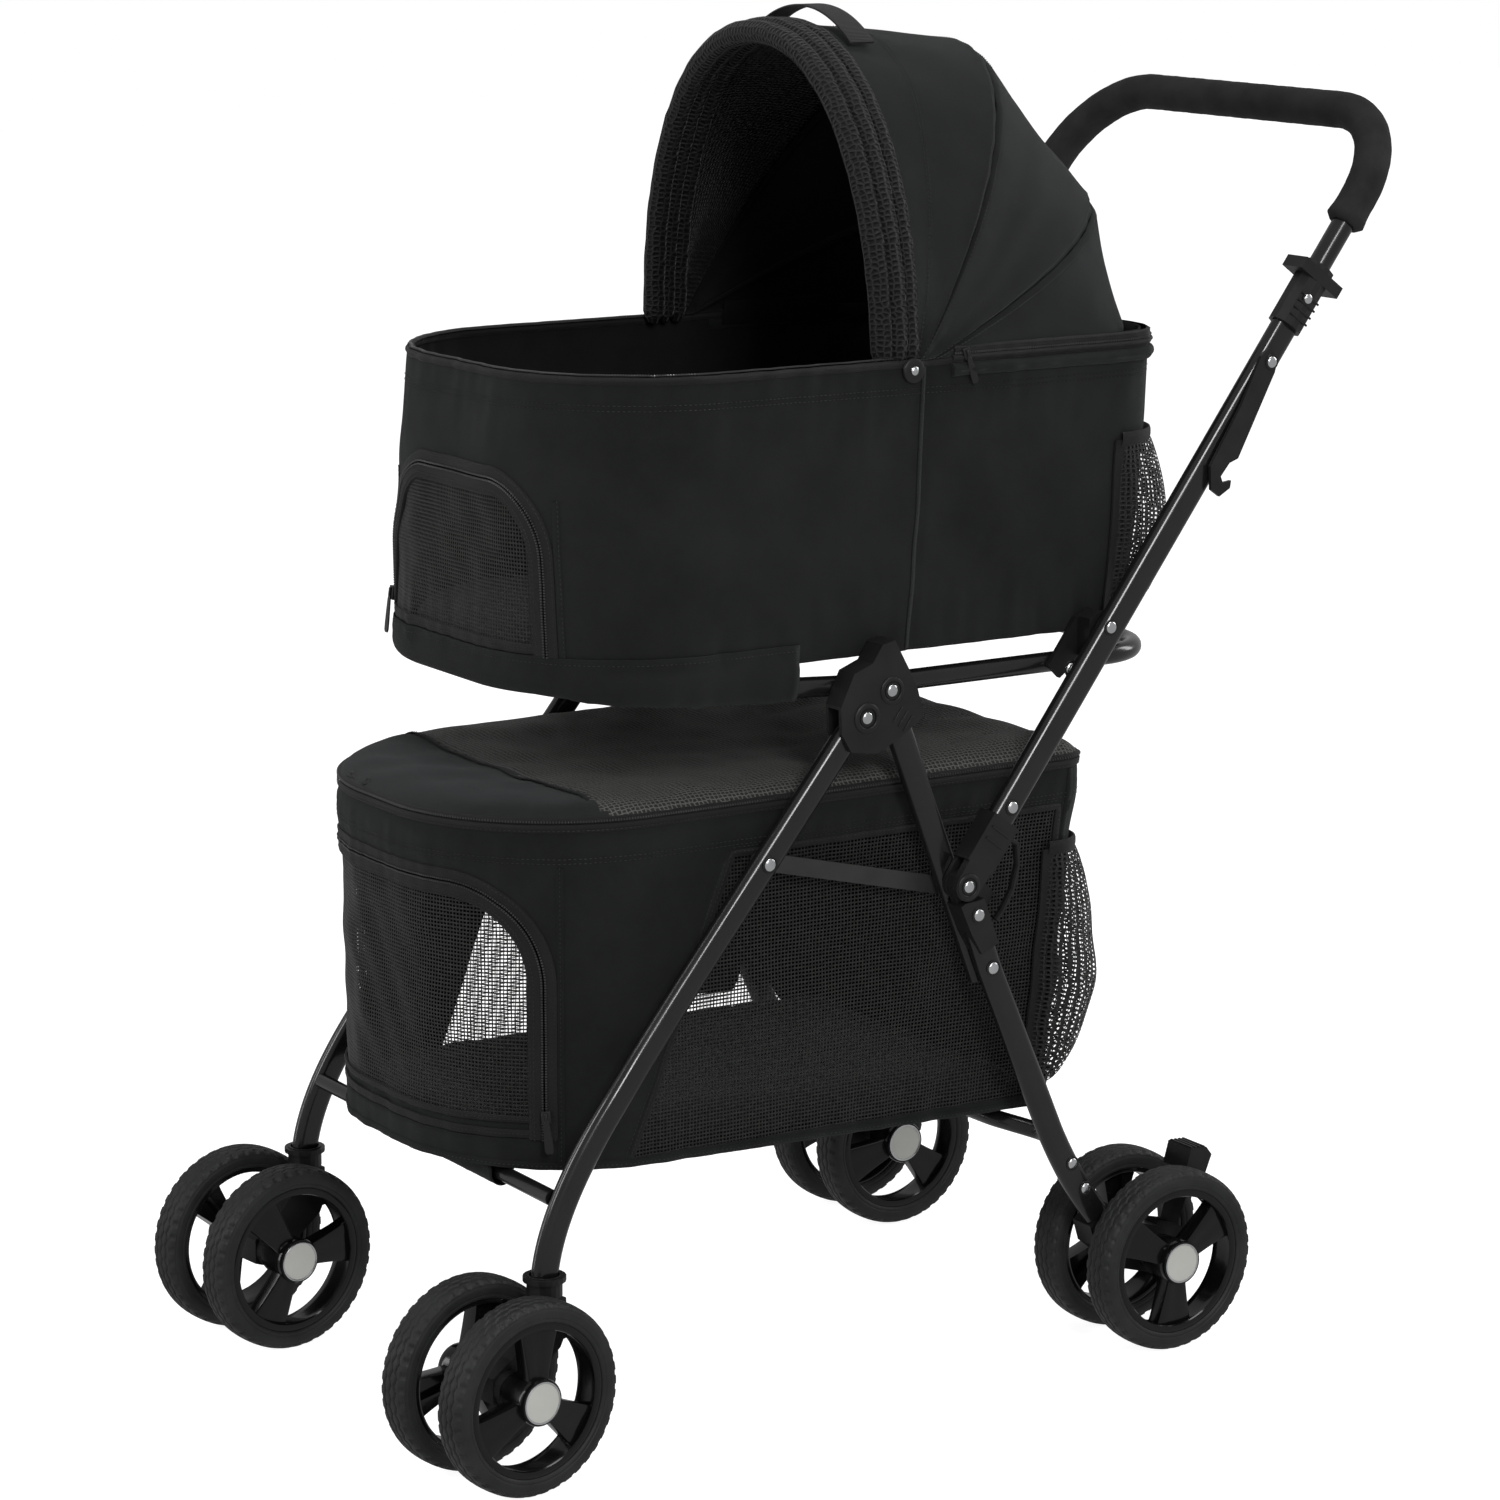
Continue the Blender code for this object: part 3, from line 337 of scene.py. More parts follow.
# zip coil: grey several times lighter than the tape, a painted highlight standing in for the glints on the coil teeth
M_TOOTH_PAINTED_GLINT = hard("m_zip_coil_painted_glint", (0.024, 0.024, 0.024), 0.34, 0.0, 0.40, grain=2500, grain_d=0.00002, vary=0.3)
M_THREAD = hard("m_thread", (0.014, 0.014, 0.015), 0.5, 0.0, 0.25, grain=3500, grain_d=0.00006, vary=0.4)
M_FAB = woven("m_oxford", (0.0072, 0.0076, 0.0075), sheen=0.06, spec=0.09)
M_FABIN = woven("m_lining", (0.0060, 0.0060, 0.0062), pitch=0.0009, sheen=0.04, spec=0.08)
M_MESH = open_mesh("m_window_mesh", (0.0090, 0.0090, 0.0086), pitch=0.0030, th=0.44, tv=0.30)
M_NET = net("m_pocket_net", (0.0080, 0.0080, 0.0080), cell=0.0036, wire=0.24)
M_SPACER = spacer("m_spacer_mesh", (0.0046, 0.0046, 0.0046), cell=0.0042, depth=0.0013)
# lid-top spacer mesh: its knit pattern with a base colour raised far above the canopy's spacer, painted light for the
# bright, highlighted top of the lid
M_SPFINE_PAINTED_LIGHT = spacer("m_spacer_fine_painted_light", (0.0400, 0.0406, 0.0375), cell=0.0028, depth=0.0008, deep=0.42, even=0.35)
M_TAPE = ribbed("m_zip_tape", (0.0046, 0.0046, 0.0047), pitch=0.0009, depth=0.00018)
M_WEB = ribbed("m_webbing", (0.0085, 0.0085, 0.0085), pitch=0.0017, depth=0.0005)
M_MESHL = open_mesh("m_window_mesh_fine", (0.0100, 0.0100, 0.0095), pitch=0.0030, th=0.24, tv=0.16)
# lighter copy of the oxford cloth for the front of the lid's top: painted light, the upward-facing top made brighter
# than the same cloth on the walls
M_LIDFAB_PAINTED_LIGHT = woven("m_lid_oxford_painted_light", (0.0120, 0.0126, 0.0126), sheen=0.08, spec=0.10)
M_PAD = woven("m_pad", (0.010, 0.010, 0.0105), pitch=0.0014, spec=0.08, sheen=0.15, rough=0.95, depth=0.0004, wrinkle=0.0016, wscale=30.0)


# ================================================================ mesh tools
def make(name, V, F, mats, body=None, mi=None, uv=None, sharp=None, smooth=True):
    V = np.asarray(V, float).reshape(-1, 3)
    me = bpy.data.meshes.new(name)
    me.from_pydata((V + OFF).tolist(), [], F if isinstance(F, list) else np.asarray(F).tolist())
    for m in (mats if isinstance(mats, (list, tuple)) else [mats]):
        me.materials.append(m)
    if mi is not None:
        me.polygons.foreach_set("material_index", np.asarray(mi, np.int32))
    if uv is not None:
        uv = np.asarray(uv, float)
        uv = uv.reshape(-1, uv.shape[-1])
        u3 = np.zeros((len(V), 3), np.float32)
        u3[:, : uv.shape[1]] = uv
        a = me.attributes.new("wuv", "FLOAT_VECTOR", "POINT")
        a.data.foreach_set("vector", u3.ravel())
    me.update()
    if smooth:
        me.shade_smooth()
        if sharp is not None:
            me.set_sharp_from_angle(angle=radians(sharp))
    ob = bpy.data.objects.new(name, me)
    COL.objects.link(ob)
    if body:
        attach(ob, body)
    return ob


class Soup:
    """Several shells gathered into one piece."""

    def __init__(self):
        self.V, self.F, self.M, self.U, self.n = [], [], [], [], 0

    def add(self, VF, mat=0, uv=None):
        V, F = VF
        V = np.asarray(V, float).reshape(-1, 3)
        self.V.append(V)
        self.F += [[int(i) + self.n for i in f] for f in F]
        self.M += [mat] * len(F)
        if uv is None:
            uv = V[:, [1, 2, 0]]
        uv = np.asarray(uv, float)
        uv = uv.reshape(-1, uv.shape[-1])
        u3 = np.zeros((len(V), 3))
        u3[:, : uv.shape[1]] = uv
        self.U.append(u3)
        self.n += len(V)
        return self

    def mirrored(self):
        s = Soup()
        s.V = [v * np.array([-1, 1, 1]) for v in self.V]
        s.F = [list(reversed(f)) for f in self.F]
        s.M, s.U, s.n = list(self.M), list(self.U), self.n
        return s

    def make(self, name, mats, body=None, sharp=40, slot=None):
        return make(name, np.vstack(self.V), self.F, mats, body, self.M, np.vstack(self.U), sharp)


def gridF(m, n, cu=False, cv=False, flip=False):
    """Faces of an m by n grid of points (index i*n+j)."""
    i = np.arange(m if cu else m - 1)
    j = np.arange(n if cv else n - 1)
    I, Jx = np.meshgrid(i, j, indexing="ij")
    I2, J2 = (I + 1) % m, (Jx + 1) % n
    f = np.stack([I * n + Jx, I2 * n + Jx, I2 * n + J2, I * n + J2], -1).reshape(-1, 4)
    if flip:
        f = f[:, ::-1]
    return f


def turned(profile, origin, axis, seg=24, cap0=False, cap1=False, closed=False):
    """Profile of (height, radius) turned about an axis through origin."""
    ax = np.asarray(Vector(axis).normalized())
    u = np.asarray(Vector(axis).orthogonal().normalized())
    v = np.cross(ax, u)
    a = 2 * pi * np.arange(seg) / seg
    ring = np.cos(a)[:, None] * u + np.sin(a)[:, None] * v
    V = np.array([np.asarray(origin) + ax * h + ring * r for h, r in profile])
    m = len(profile)
    F_ = gridF(m, seg, cu=closed, cv=True, flip=True).tolist()
    if cap0:
        F_.append(list(range(seg)))
    if cap1:
        F_.append(list(reversed(range((m - 1) * seg, m * seg))))
    return V.reshape(-1, 3), F_


def stadium(a, b, n=24):
    """Flat-oval section, half sizes a and b."""
    pts = []
    s, big, small = (1, b, a) if b > a else (0, a, b)
    flat = big - small
    h = n // 2
    for side in (1, -1):
        for k in range(h):
            t = -pi / 2 + pi * k / (h - 1)
            u, w = side * (flat + small * cos(t)), side * small * sin(t)
            pts.append((w, u) if s else (u, -w))
    return np.array(pts)


def circle(r, n=20):
    a = 2 * pi * np.arange(n) / n
    return np.stack([r * np.cos(a), r * np.sin(a)], -1)


def sweep(path, sec, side, closed=False, cap=True, scale=None):
    """Section (u along side, w along tangent x side) swept along a path."""
    path = np.asarray(path, float)
    m = len(path)
    side = np.asarray(side, float)
    if side.ndim == 1:
        side = np.repeat(side[None], m, 0)
    if closed:
        t = np.roll(path, -1, 0) - np.roll(path, 1, 0)
    else:
        t = np.gradient(path, axis=0)
    t /= np.linalg.norm(t, axis=1)[:, None]
    s = side - t * (side * t).sum(1)[:, None]
    s /= np.linalg.norm(s, axis=1)[:, None]
    w = np.cross(t, s)
    sec = np.asarray(sec, float)
    if sec.ndim == 2:
        sec = np.repeat(sec[None], m, 0)
    if scale is not None:
        sec = sec * np.asarray(scale)[:, None, None]
    V = path[:, None] + s[:, None] * sec[:, :, :1] + w[:, None] * sec[:, :, 1:]
    n = sec.shape[1]
    F_ = gridF(m, n, cu=closed, cv=True).tolist()
    if cap and not closed:
        F_.append(list(reversed(range(n))))
        F_.append(list(range((m - 1) * n, m * n)))
    return V.reshape(-1, 3), F_


def fix_normals(ob):
    bm = bmesh.new()
    bm.from_mesh(ob.data)
    bmesh.ops.recalc_face_normals(bm, faces=bm.faces)
    bm.to_mesh(ob.data)
    bm.free()
    return ob


def catmull(pts, per=8, closed=False):
    """Smooth curve through the points."""
    pts = np.asarray(pts, float)
    n = len(pts)
    out = []
    rng = range(n if closed else n - 1)
    for i in rng:
        p0 = pts[(i - 1) % n] if closed or i > 0 else 2 * pts[0] - pts[1]
        p1, p2 = pts[i], pts[(i + 1) % n]
        p3 = pts[(i + 2) % n] if closed or i + 2 < n else 2 * pts[-1] - pts[-2]
        for k in range(per):
            t = k / per
            out.append(0.5 * ((2 * p1) + (-p0 + p2) * t + (2 * p0 - 5 * p1 + 4 * p2 - p3) * t * t + (-p0 + 3 * p1 - 3 * p2 + p3) * t ** 3))
    if not closed:
        out.append(pts[-1])
    return np.array(out)


def resample(pts, step, closed=False):
    pts = np.asarray(pts, float)
    if closed:
        pts = np.vstack([pts, pts[:1]])
    d = np.r_[0, np.cumsum(np.linalg.norm(np.diff(pts, axis=0), axis=1))]
    n = max(2, int(round(d[-1] / step)) + 1)
    s = np.linspace(0, d[-1], n)
    if closed:
        s = s[:-1]
    return np.stack([np.interp(s, d, pts[:, k]) for k in range(pts.shape[1])], -1)


def noise2(a, b, seed, scale, terms=9):
    rng = np.random.RandomState(seed)
    out = 0
    for _ in range(terms):
        th, f, ph, am = rng.uniform(0, 2 * pi), rng.uniform(0.5, 1.9) / scale, rng.uniform(0, 2 * pi), rng.uniform(0.5, 1.0)
        out = out + am * np.sin((a * cos(th) + b * sin(th)) * 2 * pi * f + ph)
    return out / (terms ** 0.5)


def smooth01(x):
    x = np.clip(x, 0, 1)
    return x * x * (3 - 2 * x)


def apply_mods(ob):
    bpy.context.view_layer.update()
    dg = bpy.context.evaluated_depsgraph_get()
    me = bpy.data.meshes.new_from_object(ob.evaluated_get(dg), preserve_all_data_layers=True, depsgraph=dg)
    ob.modifiers.clear()
    ob.data = me
    return ob


def solidify(ob, t, offset=-1.0, rim=True):
    m = ob.modifiers.new("t", "SOLIDIFY")
    m.thickness = t
    m.offset = offset
    m.use_rim = rim
    return apply_mods(ob)


def bevel(ob, w, seg=2, angle=35):
    m = ob.modifiers.new("bev", "BEVEL")
    m.width = w
    m.segments = seg
    m.limit_method = "ANGLE"
    m.angle_limit = radians(angle)
    m.harden_normals = False
    return ob


def boxVF(c, ax, ay, az):
    """Box from its centre and three half vectors."""
    c, ax, ay, az = (np.asarray(v, float) for v in (c, ax, ay, az))
    V = [c + sx * ax + sy * ay + sz * az for sx in (-1, 1) for sy in (-1, 1) for sz in (-1, 1)]
    Fb = [[0, 1, 3, 2], [4, 6, 7, 5], [0, 4, 5, 1], [2, 3, 7, 6], [0, 2, 6, 4], [1, 5, 7, 3]]
    return np.array(V), Fb


def boxes(Cn, T, N, l, w, h, taper=0.75):
    """Many little blocks, each along T, standing on N."""
    Cn, T, N = (np.asarray(v, float) for v in (Cn, T, N))
    T = T / np.linalg.norm(T, axis=1)[:, None]
    N = N - T * (N * T).sum(1)[:, None]
    N = N / np.linalg.norm(N, axis=1)[:, None]
    Bn = np.cross(T, N)
    V, F_ = [], []
    rows = []
    for sx in (-1, 1):
        for sy in (-1, 1):
            rows.append(Cn + T * sx * l / 2 + Bn * sy * w / 2)
    for sx in (-1, 1):
        for sy in (-1, 1):
            rows.append(Cn + T * sx * l / 2 * taper + Bn * sy * w / 2 * taper + N * h)
    V = np.stack(rows, 1)
    fb = np.array([[0, 1, 3, 2], [4, 6, 7, 5], [0, 4, 5, 1], [2, 3, 7, 6], [0, 2, 6, 4], [1, 5, 7, 3]])
    F_ = (fb[None] + 8 * np.arange(len(Cn))[:, None, None]).reshape(-1, 4)
    return V.reshape(-1, 3), F_.tolist()


def lozenges(Cn, T, N, l, w, h):
    """Many stitches: small pointed capsules along T, raised on N."""
    Cn, T, N = (np.asarray(v, float) for v in (Cn, T, N))
    T = T / np.linalg.norm(T, axis=1)[:, None]
    N = N - T * (N * T).sum(1)[:, None]
    N = N / np.linalg.norm(N, axis=1)[:, None]
    Bn = np.cross(T, N)
    V = np.stack([Cn - T * l / 2, Cn + T * l / 2, Cn - Bn * w / 2, Cn + Bn * w / 2, Cn + N * h, Cn - N * h * 0.6], 1)
    fb = np.array([[0, 2, 4], [2, 1, 4], [1, 3, 4], [3, 0, 4], [2, 0, 5], [1, 2, 5], [3, 1, 5], [0, 3, 5]])
    F_ = (fb[None] + 6 * np.arange(len(Cn))[:, None, None]).reshape(-1, 3)
    return V.reshape(-1, 3), F_.tolist()


# ================================================================ hard parts
X = np.array([1.0, 0, 0])


def bez(p0, p1, p2, n):
    return [tuple((1 - t) ** 2 * p0[i] + 2 * t * (1 - t) * p1[i] + t * t * p2[i] for i in range(len(p0))) for t in [k / n for k in range(n + 1)]]


def tube_pair(base, VF, body, mats=None):
    """A tube and its mirror image, each standing for its CAD node."""
    mats = mats or M_TUBE
    V, F_ = VF
    uvr = V[:, [1, 2, 0]]
    r = fix_normals(make(base + "_r_fine", V, F_, mats, None, uv=uvr, sharp=50))
    l = fix_normals(make(base + "_l_fine", V * [-1, 1, 1], [list(reversed(f)) for f in F_], mats, None, uv=uvr, sharp=50))
    for o, s in ((r, "r"), (l, "l")):
        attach(o, body)
        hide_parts(base + "_" + s)
    return r, l


SEC = stadium(TW / 2, TH / 2, 28)
low = [(0.3785, 0.3895), G] + bez((0.462, 0.190), (0.482, 0.148), (0.509, 0.114), 18)
tube_pair("rear_leg_lower", sweep([(XO, y, z) for y, z in low], SEC, X), "rear_frame")
ad = Vector((G[0] - A[0], G[1] - A[1])).normalized()
tube_pair("rear_leg_upper", sweep([(XI, A[0] - ad.x * 0.013, A[1] - ad.y * 0.013), (XI, G[0] + ad.x * 0.013, G[1] + ad.y * 0.013)], SEC, X), "upper_legs")
fl = [(XI, B[0] + 0.0082, B[1] + 0.0100), (XI, *C)]
fl += bez((XI, 0.1300, 0.3539), (XI + 0.0004, 0.1080, 0.3270), (XI + 0.0012, 0.0890, 0.3035), 6)
fl += bez((0.1903, 0.0640, 0.2730), (0.1925, 0.0075, 0.2040), (0.1940, 0.0, 0.1500), 20)
fl.append((CASTER_X, 0.0, 0.1403))
tube_pair("front_leg", sweep(resample(fl, 0.006), SEC, X), "front_legs")
HSEC = stadium(TW / 2, 0.0120, 28)
tube_pair("handle_lower", sweep([(XO, *on_handle(0.0300)), (XO, *on_handle(0.5530))], HSEC, X), "handle")


def one(name, VF, mats, body, nodes_, sharp=50, bv=None):
    V, F_ = VF
    o = fix_normals(make(name, V, F_, mats, None, uv=V[:, [1, 2, 0]], sharp=sharp))
    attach(o, body)
    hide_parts(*nodes_)
    return o


half = [(0.1966, 0.4655, 0.1850), (0.1860, 0.4655, 0.1850), (0.176, 0.4600, 0.1868), (0.163, 0.4510, 0.1895), (0.148, 0.4450, 0.1910), (0.125, 0.4430, 0.1915)]
cross = half + [(-x, y, z) for x, y, z in reversed(half)]
one("rear_cross_tube_fine", sweep(np.vstack([catmull(half, 6), catmull([(0.125, 0.443, 0.1915), (-0.125, 0.443, 0.1915)], 2)[1:-1], catmull([(-x, y, z) for x, y, z in reversed(half)], 6)]), circle(0.0070, 24), (0, 0, 1)), M_TUBE, "rear_frame", ["rear_cross_tube"])
FC = (0.0125, 0.2065)
one("front_cross_tube_fine", sweep([(-0.1853, *FC), (0.0, *FC), (0.1853, *FC)], circle(0.0062, 24), (0, 0, 1)), M_TUBE, "front_legs", ["front_cross_tube"])


def u_path(r, step, s0):
    pts = [(XO, *on_handle(s0))]
    c = np.array([XO - r, *on_handle(BAR - r)])
    up = np.array([0, HD[0], HD[1]])
    n_straight = 6
    for k in range(1, n_straight):
        pts.append(np.array(pts[0]) + (np.array([XO, *on_handle(BAR - r)]) - np.array(pts[0])) * k / n_straight)
    for k in range(step + 1):
        a = pi / 2 * k / step
        pts.append(c + X * r * cos(a) + up * r * sin(a))
    pts = [np.asarray(p, float) for p in pts]
    mid = [np.array([x, pts[-1][1], pts[-1][2]]) for x in np.linspace(pts[-1][0], -pts[-1][0], 22)[1:-1]]
    return np.array(pts + mid + [p * [-1, 1, 1] for p in reversed(pts)])


HN = np.array([0, -HD[1], HD[0]])
one("handle_upper_fine", sweep(u_path(RB, 20, 0.5533), circle(0.0093, 24), HN), M_TUBE, "handle", ["handle_upper_tube"])
# foam sleeve: slightly uneven, thicker rolled ends
gp = u_path(RB, 24, 0.6150)
gd = np.r_[0, np.cumsum(np.linalg.norm(np.diff(gp, axis=0), axis=1))]
gp = resample(gp, 0.004)
gd = np.linspace(0, gd[-1], len(gp))
secs = []
for k, s in enumerate(gd):
    e = min(s, gd[-1] - s)
    r = 0.0150 + 0.00010 * sin(s * 210) + 0.00008 * sin(s * 533 + 1.0)
    r += 0.0013 * np.exp(-((e - 0.005) / 0.0045) ** 2)
    if e < 0.003:
        r -= 0.0030 * (1 - e / 0.003) ** 2
    secs.append(circle(r, 32))
VO, FO = sweep(gp, np.array(secs), HN, cap=False)
VI, FI = sweep(gp[[0, 1, -2, -1]], circle(0.0097, 32), HN, cap=False)
n32 = 32
mO = len(gp)
capA = [[k, (k + 1) % n32, len(VO) + (k + 1) % n32, len(VO) + k] for k in range(n32)]
capB = [[(mO - 1) * n32 + k, (mO - 1) * n32 + (k + 1) % n32, len(VO) + 3 * n32 + (k + 1) % n32, len(VO) + 3 * n32 + k] for k in range(n32)]
VI2, FI2 = VI.reshape(4, n32, 3), [list(reversed(f)) for f in gridF(2, n32, cv=True).tolist()] + [[i + 2 * n32 for i in reversed(f)] for f in gridF(2, n32, cv=True).tolist()]
foam = one("foam_grip_fine", (np.vstack([VO, VI]), FO + [[i + len(VO) for i in f] for f in FI2] + capA + capB), M_FOAM, "handle", ["foam_grip"], 60)

# carrier ring
def rounded(hx, y0, y1, r, seg):
    pts = []
    for cx, cy, a0 in ((hx - r, y1 - r, pi / 2), (hx - r, y0 + r, 0.0)):
        for k in range(seg + 1):
            a = a0 - (pi / 2) * k / seg
            pts.append((cx + r * cos(a), cy + r * sin(a)))
    return pts + [(-x, y) for x, y in reversed(pts)]


rp = resample(rounded(0.1675, 0.0750, 0.5900, 0.0550, 14), 0.008, True)
ring_path = np.array([(x, y, zr(y)) for x, y in rp])
one("carrier_ring_fine", sweep(ring_path, circle(0.0080, 20), (0, 0, 1), closed=True), M_TUBE, "ring", ["carrier_ring"])


# ---------------------------------------------------------------- plain nodes: finer edges and finish
def finish_node(name, mat, w=0.0007, seg=2, angle=32):
    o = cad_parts[name]

    for k in range(max(1, len(o.material_slots))):
        if k < len(o.material_slots):
            o.material_slots[k].link = "OBJECT"
            o.material_slots[k].material = mat
    if w:
        bevel(o, w, seg, angle)
    return o


for s in ("r", "l"):
    for base, w in (("hinge_cap", 0.0016), ("knuckle_lower", 0.0009), ("knuckle_upper", 0.0010), ("rear_axle_housing", 0.0012), ("brake_pedal", 0.0012),
                    ("swivel_socket", 0.0008), ("caster_fork", 0.0012), ("collar", 0.0010), ("ear_bracket", 0.0012)):
        finish_node(base + "_" + s, M_PLAS, w, 3)
    finish_node("link_bar_" + s, M_LINK, 0.0006, 2)
finish_node("hook_lever_r", M_PLAS, 0.0006, 2)


# ---------------------------------------------------------------- rivets and moulded details
def rivet(soup, x, yz, s=1.0, r=0.0047, washer=True):
    """Domed zinc rivet head facing s * X on a dark seat."""
    o = (x, yz[0], yz[1])
    ax = (s, 0, 0)
    if washer:
        soup.add(turned([(-0.0003, r * 1.02), (0.0004, r * 1.38), (0.0007, r * 1.34), (0.0007, r * 1.04), (0.0002, r * 0.98)], o, ax, 28), 1)
    prof = [(0.0, r)] + [(0.0006 + 0.0016 * sin(t), r * cos(t)) for t in np.linspace(0.0, pi / 2 - 0.12, 8)] + [(0.0021, 0.0002)]
    soup.add(turned(prof, o, ax, 28, cap1=True), 0)


def rivets(name, items, body_r, body_l=None, only=None):
    sr = Soup()
    for x, yz, s, r in items:
        rivet(sr, x, yz, s, r)
    if only != "l":
        sr.make(name + "_r", [M_STEEL, M_PLAS], body_r, 40, "link_steel")
    if only != "r":
        sr.mirrored().make(name + "_l", [M_STEEL, M_PLAS], body_l or body_r, 40, "link_steel")


rivets("rivets_cap", [(0.1975, A, 1, 0.0048), (0.1975, B, 1, 0.0048), (0.1764, A, -1, 0.0040)], "upper_legs")
rivets("rivets_front_leg", [(XI + TW / 2, C, 1, 0.0050)], "front_legs")
rivets("rivets_rear_leg", [(XO + TW / 2, G, 1, 0.0048), (0.2135, F, 1, 0.0048), (XO + TW / 2, (0.4795, 0.1625), 1, 0.0044), (XO + TW / 2, (0.4930, 0.1395), 1, 0.0044)], "rear_frame")
rivets("rivets_handle", [(0.2135, E, 1, 0.0048), (XO + TW / 2, (0.4150, 0.4625), 1, 0.0048), (XO + TW / 2, H, 1, 0.0048), (0.1967, EAR, 1, 0.0050)], "handle")
rivets("rivets_collar", [(XO + 0.0122, (0.6935, 0.8435), 1, 0.0040)], "collar_r", "collar_l")
rivets("rivet_hook", [(0.2158, J, 1, 0.0046)], "hook", only="r")
rivets("rivet_handle_top", [(XO + TW / 2, J, 1, 0.0046)], "handle", only="l")

# raised rims and slots on the hinge caps and knuckles
def ring_boss(soup, x, yz, r, h=0.0012, w=0.0016, s=1, mat=0):
    soup.add(turned([(-0.0006, r - w), (h * 0.6, r - w), (h, r - w * 0.7), (h, r + w * 0.4), (h * 0.5, r + w), (-0.0006, r + w)], (x, *yz), (s, 0, 0), 36), mat)


sp = Soup()
ring_boss(sp, 0.1975, A, 0.0092)
ring_boss(sp, 0.1975, B, 0.0098, 0.0016, 0.0020)
# grooves moulded across the cap's cheek
for k in range(3):
    a0 = np.array([0.1976, 0.3145 + 0.0048 * k, 0.5450 - 0.004 * k])
    d = np.array([0, 0.0075, 0.0100])
    sp.add(boxVF(a0, (0.0007, 0, 0), d * 0.55, (0, 0.0007, -0.0005)))
o = sp.make("cap_details_r", [M_PLAS], "upper_legs", 40, "black_plastic")
bevel(o, 0.0004, 2)
o = sp.mirrored().make("cap_details_l", [M_PLAS], "upper_legs", 40, "black_plastic")
bevel(o, 0.0004, 2)

sp = Soup()
ring_boss(sp, 0.2135, E, 0.0088)
ang = atan2(HD[1], HD[0])
for k in range(2):
    c0 = on_handle(0.040 + 0.010 * k)
    sp.add(boxVF((0.2136, *c0), (0.0006, 0, 0), (0, -HD[1] * 0.0095, HD[0] * 0.0095), (0, HD[0] * 0.0010, HD[1] * 0.0010)))
sp.make("knuckle_details_r", [M_PLAS], "handle", 40, "black_plastic")
sp.mirrored().make("knuckle_details_l", [M_PLAS], "handle", 40, "black_plastic")

sp = Soup()
for k in range(4):
    c0 = on_handle(0.526 + 0.0065 * k)
    sp.add(boxVF((XO + 0.0123, *c0), (0.0005, 0, 0), (0, -HD[1] * 0.0100, HD[0] * 0.0100), (0, HD[0] * 0.0008, HD[1] * 0.0008)))
sp.make("collar_ribs_r", [M_PLAS], "collar_r", 40, "black_plastic")
sp.mirrored().make("collar_ribs_l", [M_PLAS], "collar_l", 40, "black_plastic")

# ribs on the brake pedals' treads
for sgn, s in ((1, "r"), (-1, "l")):
    sp = Soup()
    p0, p1 = np.array([0.6000, 0.1550]), np.array([0.6160, 0.1540])
    for k in range(4):
        f = 0.12 + 0.25 * k
        q = p0 + (p1 - p0) * f
        sp.add(boxVF((sgn * REAR_X, q[0], q[1]), (0.0142, 0, 0), (0, 0.0011, 0), (0, 0, 0.0011)))
    q0, q1 = np.array([0.6215, 0.1470]), np.array([0.6150, 0.1310])
    for k in range(3):
        q = q0 + (q1 - q0) * (0.25 + 0.28 * k)
        sp.add(boxVF((sgn * REAR_X, q[0], q[1]), (0.0142, 0, 0), (0, 0.0010, 0), (0, 0.0002, 0.0010)))
    o = sp.make("pedal_ribs_" + s, [M_PLAS], "pedal_" + s, 40, "black_plastic")
    bevel(o, 0.0005, 2)

